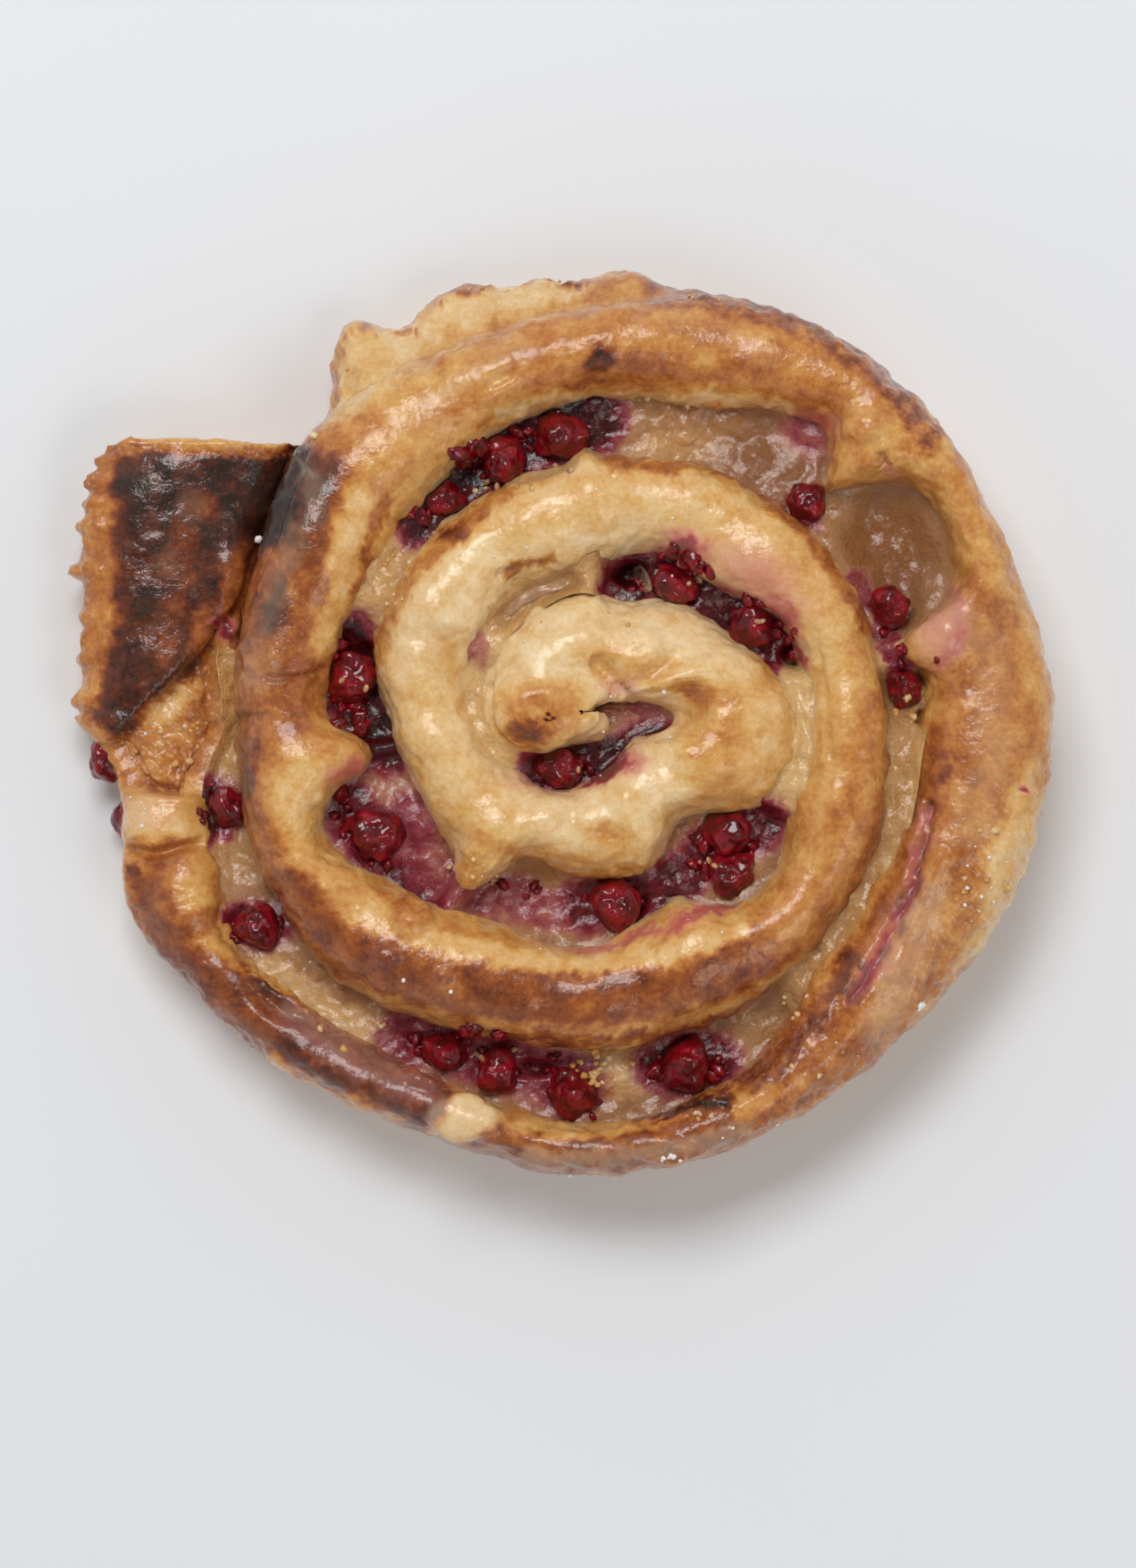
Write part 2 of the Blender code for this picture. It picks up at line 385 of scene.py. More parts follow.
@dataclass(frozen=True)
class Chart:
    """Marks in the picture by name, and the noise that frays their edges."""

    marks: dict[str, Patch | Stroke | Field]
    ragged: float = 0.0  # pixels by which edges wander
    seed: int = 0

    def over(self, points: Array, base: Array) -> Array:
        """Lay the marks over a base value. Each pulls the value towards its amount, the later
        over the earlier.

        Args:
            points: N by 3 places in mm.
            base: N values to start from.

        Returns:
            N values from 0 to 1.
        """
        x, y = VIEW.pixels(points)
        wander = [
            cloud(points, 2.6, self.seed + k) + 0.5 * lattice(points, 0.7, self.seed + 5 + k)
            for k in (0, 1)
        ]
        x, y = x + self.ragged * wander[0], y + self.ragged * wander[1]
        value = np.array(base, float)
        specks = smoothstep(-0.25, 0.35, cloud(points, 1.3, self.seed + 9, 2))
        for mark in self.marks.values():
            weight = mark.weight(x, y) * (1 - mark.speckle * specks)
            value += (mark.amount - value) * weight
        return np.clip(value, 0, 1)

    def height(self, points: Array) -> Array:
        """Add up the marks, their amounts being heights in mm, at N by 3 places in mm."""
        x, y = VIEW.pixels(points)
        return sum(mark.amount * mark.weight(x, y) for mark in self.marks.values())


def put_mesh(name: str, points: Array, faces: Faces, normals: Optional[Array] = None,
             values: Optional[dict[str, Array]] = None) -> bpy.types.Object:
    """Make an object of points and faces, smooth shaded and in metres.

    Args:
        name: the piece's name.
        points: N by 3 places in mm.
        faces: vertex numbers, three or four to a face.
        normals: shading normals, one a point, or None for the mesh's own.
        values: painted values by attribute name, one a point.

    Returns:
        The object, at the origin.
    """
    mesh = bpy.data.meshes.new(name)
    rows = [row for part in faces for row in part.tolist()]
    mesh.from_pydata((points * MM).tolist(), [], rows)
    mesh.shade_smooth()
    if normals is not None:
        mesh.normals_split_custom_set_from_vertices(normals.tolist())
    for key, value in (values or {}).items():
        layer = mesh.attributes.new(key, "FLOAT", "POINT")
        layer.data.foreach_set("value", np.asarray(value, np.float32))
    mesh.update()
    made = bpy.data.objects.new(name, mesh)
    bpy.context.scene.collection.objects.link(made)
    return made


def closed_tube(grid: Array) -> tuple[Array, Faces]:
    """Points and faces of a wrapped grid whose two ends are closed by fans to their middles.

    Args:
        grid: rows by columns by 3, columns wrapped.

    Returns:
        The points, the two middles last, and the faces, the triangles of the fans last.
    """
    rows, columns = grid.shape[:2]
    points = np.concatenate([
        grid.reshape(-1, 3), grid[0].mean(0, keepdims=True), grid[-1].mean(0, keepdims=True)
    ])
    k = np.arange(columns)
    after = (k + 1) % columns
    first, last = rows * columns, (rows - 1) * columns
    head = np.stack([np.full(columns, first), k, after], axis=1)
    tail = np.stack([np.full(columns, first + 1), last + after, last + k], axis=1)
    return points, [grid_faces(rows, columns, True), np.concatenate([head, tail])]


def unit_ball(rings: int, segments: int) -> tuple[Array, Faces]:
    """A ball of radius 1: latitude by longitude, closed by a point at each pole.

    Args:
        rings: circles between the poles.
        segments: points on each circle.

    Returns:
        The points, the poles last, and the faces.
    """
    lat = np.linspace(0, np.pi, rings + 2)[1:-1, None]
    lon = np.linspace(0, 2 * np.pi, segments, endpoint=False)[None, :]
    points, faces = closed_tube(np.stack(np.broadcast_arrays(
        np.sin(lat) * np.cos(lon), np.sin(lat) * np.sin(lon), np.cos(lat)
    ), axis=-1))
    points[-2:] = ((0, 0, 1), (0, 0, -1))
    return points, faces


def joined(parts: Sequence[tuple[Array, Faces]]) -> tuple[Array, Faces]:
    """Join several meshes.

    Args:
        parts: the points and faces of each.

    Returns:
        The points and faces of one mesh.
    """
    starts = np.cumsum([0] + [len(points) for points, _ in parts])
    faces = [rows + start for (_, own), start in zip(parts, starts) for rows in own]
    return np.concatenate([points for points, _ in parts]), faces


def many(ball: Array, middles: Array, axes: Array, rough: float, seed: int) -> Array:
    """Copies of a ball, each turned at random, stretched and dented in its own way.

    Args:
        ball: V by 3 points of the unit ball.
        middles: N by 3 middles in mm.
        axes: N by 3 half axes in mm.
        rough: how far each vertex may lie off the ball, as a share of its radius.
        seed: picks the turns and the dents.

    Returns:
        N by V by 3 points. A turn is a random unit quaternion written as a matrix.
    """
    rng = np.random.default_rng(seed)
    w, x, y, z = unit(rng.normal(size=(len(middles), 4))).T
    turn = np.array([
        [1 - 2 * (y * y + z * z), 2 * (x * y - w * z), 2 * (x * z + w * y)],
        [2 * (x * y + w * z), 1 - 2 * (x * x + z * z), 2 * (y * z - w * x)],
        [2 * (x * z - w * y), 2 * (y * z + w * x), 1 - 2 * (x * x + y * y)],
    ])
    dents = 1 + rough * rng.uniform(-1, 1, (len(middles), len(ball), 1))
    return middles[:, None, :] + np.einsum(
        "ijn,nvj->nvi", turn, ball[None] * dents * axes[:, None, :]
    )


# The coil that dough, quark and currants share.


@dataclass(frozen=True)
class CoilShape:
    """The course and the cross-section of the rolled strip, all in mm and turns. Sides lie
    16 to a turn, crests and tops of the quark 4 to a turn, from the first turn on.
    """

    first_turn: float = -1.0
    last_turn: float = 2.5
    seam: float = 1.0  # mm between two turns that touch
    open_beyond: float = 46.0  # mm from the eye: such walls are the open side
    start_slope: float = 54.0  # mm a turn by which a wall runs on before the first turn
    wall_levels: tuple[float, ...] = (0.0, 0.28, 0.60)  # shares of the height
    wall_shares: tuple[float, ...] = (0.86, 0.97, 1.0)  # shares of the width there
    lip_levels: tuple[float, ...] = (0.0, 0.28, 0.44, 0.60)
    lip_shares: tuple[float, ...] = (0.92, 1.0, 0.8, 0.0)
    sides: tuple[Place, ...] = (  # distances of the inner and the outer side from the eye
        (0.3, 3.6), (0.3, 4.5), (0.3, 4.6), (0.3, 4.4),
        (0.3, 4.4), (0.3, 4.9), (0.3, 7.8), (0.3, 12.0),
        (0.3, 13.7), (0.3, 15.0), (0.3, 16.0), (0.4, 16.9),
        (0.6, 18.3), (1.0, 17.5), (1.6, 21.2), (4.0, 25.0),
        (12.5, 30.6), (8.1, 29.6), (7.5, 20.6), (8.1, 23.7),
        (9.4, 22.5), (11.0, 21.6), (11.5, 25.6), (13.4, 25.3),
        (15.1, 27.1), (16.4, 31.2), (17.6, 32.2), (19.4, 33.7),
        (20.1, 35.5), (24.4, 38.4), (25.6, 40.4), (30.6, 42.0),
        (31.9, 43.1), (31.4, 45.5), (34.7, 46.2), (29.4, 47.0),
        (32.7, 47.0), (31.5, 47.5), (34.4, 50.5), (40.0, 49.4),
        (36.6, 48.7), (34.6, 50.0), (35.5, 54.5), (39.4, 55.0),
        (44.1, 56.8), (46.5, 62.5), (54.4, 64.6), (56.5, 64.2),
        (47.0, 65.9), (46.9, 65.6), (47.7, 63.7), (55.0, 64.1),
        (56.9, 64.4), (54.4, 62.6), (56.0, 65.9), (55.0, 67.8),
        (50.4, 69.6),
    )
    crests: tuple[float, ...] = (
        22, 26.5, 29.5, 28.5, 27.5, 27, 27, 27.5, 27, 27, 26.5, 26, 26, 24, 14.5,
    )
    bulges: tuple[tuple[float, int, float, float], ...] = (  # turn, side, size, spread
        (0.345, 1, 5.6, 0.020),
        (0.753, 1, 2.0, 0.009),
        (1.172, -1, 1.2, 0.014),
        (1.470, -1, 8.8, 0.022),
        (1.882, -1, 8.8, 0.012),
        (1.967, -1, 7.5, 0.013),
        (2.406, -1, -2.0, 0.012),
        (2.433, 1, 1.3, 0.020),
        (2.474, 1, -3.4, 0.018),
        (2.499, 1, 2.6, 0.007),
        (2.500, -1, 3.5, 0.014),
    )
    lips: tuple[tuple[float, float, float], ...] = (  # turn, size, spread
        (1.664, 7.6, 0.014), (1.703, 5.6, 0.018), (1.735, 2.8, 0.012), (1.765, 4.4, 0.014),
    )
    ledge: tuple[Place, ...] = (  # turn, width
        (1.625, 0.0), (1.650, 2.2), (1.667, 2.7), (1.683, 3.2), (1.700, 2.4), (1.717, 3.5),
        (1.733, 3.8), (1.750, 3.1), (1.767, 1.6), (1.783, 1.4), (1.800, 1.3), (1.830, 0.0),
    )
    flap_length: float = 38.0
    flap_outer: tuple[float, ...] = (70.6, 70.4, 70.0, 70.2, 69.8, 67.4)
    flap_crests: tuple[float, ...] = (14.5, 14.8, 15.1, 15.2, 15.2, 15.0)
    teeth: tuple[tuple[float, float, float], ...] = (  # place along the flap, size, spread
        (2.0, 1.2, 1.3), (8.0, 0.7, 0.9), (14.1, 0.9, 1.0), (20.5, 2.0, 0.8),
        (26.6, 1.3, 1.1), (30.0, 0.7, 0.7), (33.2, 1.3, 0.9), (36.2, 0.9, 0.6),
    )
    filling_tops: tuple[float, ...] = (
        19.5, 18.5, 18.5, 18.5, 18.0, 16.5, 17.0, 16.5, 17.5, 15.0, 12.0,
    )

    def own_side(self, turn: Array, side: int) -> Array:
        """Where one side would lie if no other turn were beside it.

        Args:
            turn: places along the coil.
            side: -1 for the inner side and 1 for the outer.

        Returns:
            Distances from the eye.
        """
        column = [pair[(side + 1) // 2] for pair in self.sides]
        reach = catmull(column, (turn - self.first_turn) * 16)
        for middle, bulge_side, size, spread in self.bulges:
            if bulge_side == side:
                reach = reach + side * size * bell(turn, middle, spread)
        return reach

    def inner(self, turn: Array) -> Array:
        """Distance from the eye to the inner side, a seam clear of the turn within."""
        own = self.own_side(turn, -1)
        within = (own + self.own_side(turn - 1, 1) + self.seam) / 2
        return np.where(turn - 1 < self.first_turn, own, np.maximum(own, within))

    def outer(self, turn: Array) -> Array:
        """Distance from the eye to the outer side, a seam clear of the turn around it."""
        own = self.own_side(turn, 1)
        around = (own + self.own_side(turn + 1, -1) - self.seam) / 2
        return np.where(turn + 1 > self.last_turn, own, np.minimum(own, around))

    def crest(self, turn: Array) -> Array:
        """Height of the crest, with the small waves of the risen dough.

        Args:
            turn: places along the coil.

        Returns:
            Heights above the table.
        """
        waves = (
            0.45 * np.sin(2 * np.pi * 7 * turn)
            + 0.2 * np.sin(2 * np.pi * 17 * turn + 1.3)
        )
        calm = smoothstep(-0.35, 0.1, turn)
        return catmull(self.crests, (turn - self.first_turn) * 4) + waves * calm

    def lip(self, turn: Array) -> Array:
        """How far the lip of pale dough spreads from the foot of the outer wall."""
        row = np.array(self.ledge)
        return np.interp(turn, row[:, 0], row[:, 1]) + sum(
            size * bell(turn, middle, spread) for middle, size, spread in self.lips
        )

    def filling_top(self, turn: Array) -> Array:
        """Height of the quark outside one place of the strip."""
        return catmull(self.filling_tops, (turn - self.first_turn) * 4)

    def wall(self, turn: Array, side: int, level: Array) -> Array:
        """Distance from the eye to a side of the strip at one height above the table.

        Args:
            turn: places along the coil.
            side: -1 for the inner side and 1 for the outer.
            level: the heights.

        Returns:
            The distances.
        """
        held = np.maximum(turn, self.first_turn)
        inner, outer = self.inner(held), self.outer(held)
        share = np.interp(level / self.crest(held), self.wall_levels, self.wall_shares)
        reach = (inner + outer) / 2 + side * (outer - inner) / 2 * share
        return reach - self.start_slope * (held - turn)

    def around(self, turn: Array, distance: Array, z: Array) -> Array:
        """Points in the part's frame, a turn running clockwise from above.

        Args:
            turn: places along the coil.
            distance: distances from the eye.
            z: heights above the table.

        Returns:
            The points, with one axis more.
        """
        angle = -2 * np.pi * turn
        x = EYE[0] + distance * np.cos(angle)
        y = EYE[1] + distance * np.sin(angle)
        return np.stack(np.broadcast_arrays(x, y, z), axis=-1)

    def flap_inner(self, along: Array) -> Array:
        """The flap's inner side, baked on to the second turn's outer side at that place.

        Args:
            along: distances along the flap.

        Returns:
            Distances from the eye, square to the flap.
        """
        turns = np.linspace(1.5, 1.68, 800)
        reach = self.outer(turns)
        rise = reach * np.sin(2 * np.pi * (turns - 1.5))
        across = reach * np.cos(2 * np.pi * (turns - 1.5))
        return np.interp(along, rise, across) + 0.1


COIL = CoilShape()


# Finishes.


def fill(tree: bpy.types.NodeTree, node: bpy.types.Node, inputs: dict) -> None:
    """Give a node's inputs their values, and link those that are given a socket.

    Args:
        tree: the node tree.
        node: the node.
        inputs: socket name or number to a value or a socket.
    """
    for key, value in inputs.items():
        if isinstance(value, Socket):
            tree.links.new(value, node.inputs[key])
        else:
            node.inputs[key].default_value = value


def add_node(tree: bpy.types.NodeTree, kind: str, inputs: dict,
             **settings: object) -> bpy.types.Node:
    """Add a node with its settings and links.

    Args:
        tree: the node tree.
        kind: the node's type name without its first part, ShaderNode.
        inputs: socket name or number to a value, or to a socket to link from.
        settings: properties of the node.

    Returns:
        The node.
    """
    made = tree.nodes.new("ShaderNode" + kind)
    for key, value in settings.items():
        setattr(made, key, value)
    fill(tree, made, inputs)
    return made


def ramp(tree: bpy.types.NodeTree, factor: Socket, stops: Stops) -> Socket:
    """Turn a factor into a colour by a row of stops.

    Args:
        tree: the node tree.
        factor: the socket to read.
        stops: places from 0 to 1 and their sRGB colours.

    Returns:
        The colour's socket.
    """
    made = add_node(tree, "ValToRGB", {"Fac": factor})
    band = made.color_ramp
    while len(band.elements) < len(stops):
        band.elements.new(0.5)
    for element, (at, code) in zip(band.elements, stops):
        element.position = at
        element.color = linear(code)
    return made.outputs["Color"]


class Recipe:
    """A new material and short ways to add the nodes that the finishes share. Patterns are
    sized in mm of the pastry and a bump's height is in mm too.
    """

    def __init__(self, name: str) -> None:
        """Make the material and find its shader and the place on the piece."""
        self.material = bpy.data.materials.new(name)
        self.material.use_nodes = True
        self.tree = self.material.node_tree
        self.shader = self.tree.nodes["Principled BSDF"]
        self.place = self.node("TexCoord", {}, "Object")

    def node(self, kind: str, inputs: dict, output: str | int, **settings: object) -> Socket:
        """Add a node and return one of its outputs."""
        return add_node(self.tree, kind, inputs, **settings).outputs[output]

    def value(self, name: str) -> Socket:
        """A value painted on the piece."""
        return self.node("Attribute", {}, "Fac", attribute_name=name)

    def noise(self, size: float, detail: float, rough: float = 0.5) -> Socket:
        """Noise whose coarsest lumps are size mm across."""
        inputs = {"Vector": self.place, "Scale": 1000 / size, "Detail": detail}
        return self.node("TexNoise", {**inputs, "Roughness": rough}, "Fac")

    def cells(self, size: float, feature: str) -> Socket:
        """Distance to the middle of the nearest cell, the cells size mm across."""
        inputs = {"Vector": self.place, "Scale": 1000 / size}
        return self.node("TexVoronoi", inputs, "Distance", feature=feature)

    def span(self, value: Socket, start: float, end: float, low: float, high: float) -> Socket:
        """Turn the range from start to end into the range from low to high."""
        inputs = {"Value": value, "From Min": start, "From Max": end}
        return self.node("MapRange", {**inputs, "To Min": low, "To Max": high}, "Result")

    def combine(self, operation: str, first: Socket, second: Socket | float,
                clamp: bool = False) -> Socket:
        """Work out one sum or product."""
        return self.node("Math", {0: first, 1: second}, 0, operation=operation, use_clamp=clamp)

    def mix(self, share: Socket, first: Socket, second: Socket | tuple) -> Socket:
        """Blend two colours."""
        return self.node("Mix", {0: share, 6: first, 7: second}, 2, data_type="RGBA")

    def bump(self, strength: float, height: float, pattern: Socket, **below: Socket) -> Socket:
        """Relief from a pattern, laid over the relief below where there is one."""
        inputs = {"Strength": strength, "Distance": height * MM, "Height": pattern, **below}
        return self.node("Bump", inputs, "Normal")

    def done(self, inputs: dict) -> bpy.types.Material:
        """Fill the shader's inputs and return the material."""
        fill(self.tree, self.shader, inputs)
        return self.material


@dataclass(frozen=True)
class BakedDough:
    """Sweet yeast dough baked in an oven and brushed with sugar water: from cream through
    golden to dark brown, stained by berry juice, under a thin wet-looking glaze.
    """

    name: str = "baked_sweet_dough"
    crust: Stops = (
        (0.0, "f6e0b8"), (0.15, "ecca94"), (0.32, "dca75c"), (0.48, "c17a36"),
        (0.62, "984e1e"), (0.76, "672a10"), (0.90, "2e0e08"), (1.0, "150807"),
    )
    juice: Stops = (
        (0.0, "e2a08c"), (0.35, "cc5a68"), (0.6, "a42440"), (0.8, "6c1024"), (1.0, "38060c"),
    )
    # colour of the milky glaze, also used for the painted sheen of light
    glaze: str = "e8cfaa"
    crystal: str = "e9cfae"
    blotch: float = 3.5  # mm, browning blotches
    speck: float = 0.7  # mm, specks and fine bubbles
    pore: float = 1.3  # mm, pores of the crust
    grit: float = 1.1  # mm, sugar and crumb on the coarse places
    ripple: float = 1.3  # mm, ripples of the wet glaze

    def make(self) -> bpy.types.Material:
        """Build the material: the painted browning, broken up by blotches and specks, picks the crust's
        colour; juice, milky glaze with painted sheen of light, and pale grit go over it.
        """
        new = Recipe(self.name)
        stain = new.value("juice")
        blotch, speck = new.noise(self.blotch, 6.0, 0.62), new.noise(self.speck, 3.0, 0.6)
        level = new.combine("ADD", new.value("toast"), new.span(blotch, 0.3, 0.7, -0.11, 0.11))
        level = new.combine("ADD", level, new.span(speck, 0.3, 0.7, -0.05, 0.05))
        crust, red = ramp(new.tree, level, self.crust), ramp(new.tree, stain, self.juice)
        colour = new.mix(new.span(stain, 0.0, 0.6, 0.0, 0.92), crust, red)
        # whitish glaze over the crust: the glaze value also paints the sheen of light on the crests
        colour = new.mix(new.combine("MULTIPLY", new.value("glaze"), 0.4), colour, linear(self.glaze))
        grit = new.span(new.cells(self.grit, "F1"), 0.32, 0.16, 0.0, 0.4)
        grit = new.combine("MULTIPLY", grit, new.value("coarse"))
        grain = new.bump(0.4, 0.3, speck)
        return new.done({
            "Base Color": new.mix(grit, colour, linear(self.crystal)),
            "Roughness": new.span(blotch, 0.3, 0.7, 0.34, 0.52),
            "Normal": new.bump(0.35, 0.4, new.cells(self.pore, "SMOOTH_F1"), Normal=grain),
            "Coat Normal": new.bump(0.6, 0.3, new.noise(self.ripple, 4.0, 0.55)),
            "Specular IOR Level": 0.2,
            "Coat Weight": 0.85,
            "Coat Roughness": 0.07,
            "Coat IOR": 1.43,
            "IOR": 1.45,
            "Subsurface Weight": 0.12,
            "Subsurface Radius": (1.0, 0.5, 0.25),
            "Subsurface Scale": 2.5 * MM,
        })


@dataclass(frozen=True)
class QuarkCream:
    """Quark baked soft between the turns: cream to amber, grey-pink where berry juice ran
    into it, deep red where the berries burst, wet all over.
    """

    name: str = "baked_quark"
    cream: Stops = (
        (0.0, "ecca8e"), (0.3, "d0a064"), (0.6, "935f34"), (0.85, "663a1a"), (1.0, "381a0b"),
    )
    juice: Stops = (
        (0.0, "c9a083"), (0.25, "b26c5c"), (0.45, "964249"), (0.62, "7e1b2c"), (0.8, "560610"),
        (1.0, "2a0203"),
    )
    clot: float = 2.4  # mm, clots that took up more or less juice
    curd: float = 1.1  # mm, grains of curd

    def make(self) -> bpy.types.Material:
        """Build the material: juice, uneven by clots, stains the browned cream."""
        new = Recipe(self.name)
        stain, clot = new.value("juice"), new.noise(self.clot, 5.0, 0.65)
        level = new.combine("ADD", stain, new.span(clot, 0.3, 0.7, -0.16, 0.16), clamp=True)
        pale, red = ramp(new.tree, new.value("toast"), self.cream), ramp(new.tree, level, self.juice)
        return new.done({
            "Base Color": new.mix(new.span(stain, 0.0, 0.35, 0.0, 1.0), pale, red),
            "Normal": new.bump(0.8, 0.9, new.noise(self.curd, 4.0, 0.6)),
            "Coat Normal": new.bump(0.6, 0.5, clot),
            "Roughness": 0.45,
            "Specular IOR Level": 0.15,
            "Coat Weight": 0.85,
            "Coat Roughness": 0.05,
            "IOR": 1.42,
            "Subsurface Weight": 0.25,
            "Subsurface Radius": (1.0, 0.45, 0.3),
            "Subsurface Scale": 3.0 * MM,
        })


@dataclass(frozen=True)
class CurrantSkin:
    """Skin of baked red currants: thin, taut or wrinkled, dark translucent red and wet."""

    name: str = "currant_skin"
    skin: Stops = ((0.0, "240205"), (0.42, "5a040c"), (0.62, "90081a"), (1.0, "c41e3a"))
    mottle: float = 2.2  # mm, darker and lighter places
    wrinkle: float = 0.9  # mm

    def make(self) -> bpy.types.Material:
        """Build the material."""
        new = Recipe(self.name)
        return new.done({
            "Base Color": ramp(new.tree, new.noise(self.mottle, 5.0, 0.6), self.skin),
            "Normal": new.bump(0.5, 0.4, new.noise(self.wrinkle, 3.0)),
            "Roughness": 0.4,
            "Specular IOR Level": 0.15,
            "Coat Weight": 0.7,
            "Coat Roughness": 0.03,
            "Subsurface Weight": 0.3,
            "Subsurface Radius": (1.0, 0.12, 0.1),
            "Subsurface Scale": 2.0 * MM,
        })


@dataclass(frozen=True)
class SugarGlaze:
    """Water and sugar boiled and brushed on hot: set clear to milky in drips and pools."""

    name: str = "sugar_glaze"
    colours: Stops = ((0.35, "f2dcbc"), (0.7, "d8b484"))
    milk: float = 1.8  # mm, milky places

    def make(self) -> bpy.types.Material:
        """Build the material."""
        new = Recipe(self.name)
        milk = new.noise(self.milk, 4.0)
        return new.done({
            "Base Color": ramp(new.tree, milk, self.colours),
            "Normal": new.bump(0.5, 0.3, milk),
            "Roughness": 0.3,
            "IOR": 1.4,
            "Transmission Weight": 0.75,
            "Coat Weight": 0.5,
            "Coat Roughness": 0.04,
        })


@dataclass(frozen=True)
class PlainFinish:
    """A material of two near colours that drift into each other, with one gloss all over."""

    name: str
    colours: Stops
    drift: float  # mm, how far apart the two colours lie
    gloss: dict[str, float]

    def make(self) -> bpy.types.Material:
        """Build the material."""
        new = Recipe(self.name)
        return new.done({
            "Base Color": ramp(new.tree, new.noise(self.drift, 2.0), self.colours), **self.gloss
        })


# Seeds of red currants: hard, tan and half dull under a skin of juice.
CURRANT_SEED = PlainFinish(
    "currant_seed", ((0.3, "d8b184"), (0.7, "9a5f34")), 0.6, {"Roughness": 0.3}
)
# Coarse sugar crystals: clear and white, with sharp faces.
SUGAR_GRAIN = PlainFinish(
    "sugar_crystal", ((0.3, "fbf8f2"), (0.7, "ece2d2")), 0.5, {"Roughness": 0.25, "IOR": 1.54}
)
# Matt white laminate that the pastry lies on: plain and a little cool.
PALE_FLOOR = PlainFinish(
    "white_laminate", ((0.3, "eceef0"), (0.7, "eaecee")), 90.0,
    {"Roughness": 0.6, "Specular IOR Level": 0.2},
)


# What the browned side shows, by places in the picture. Toast runs from 0, cream, to 1, black.

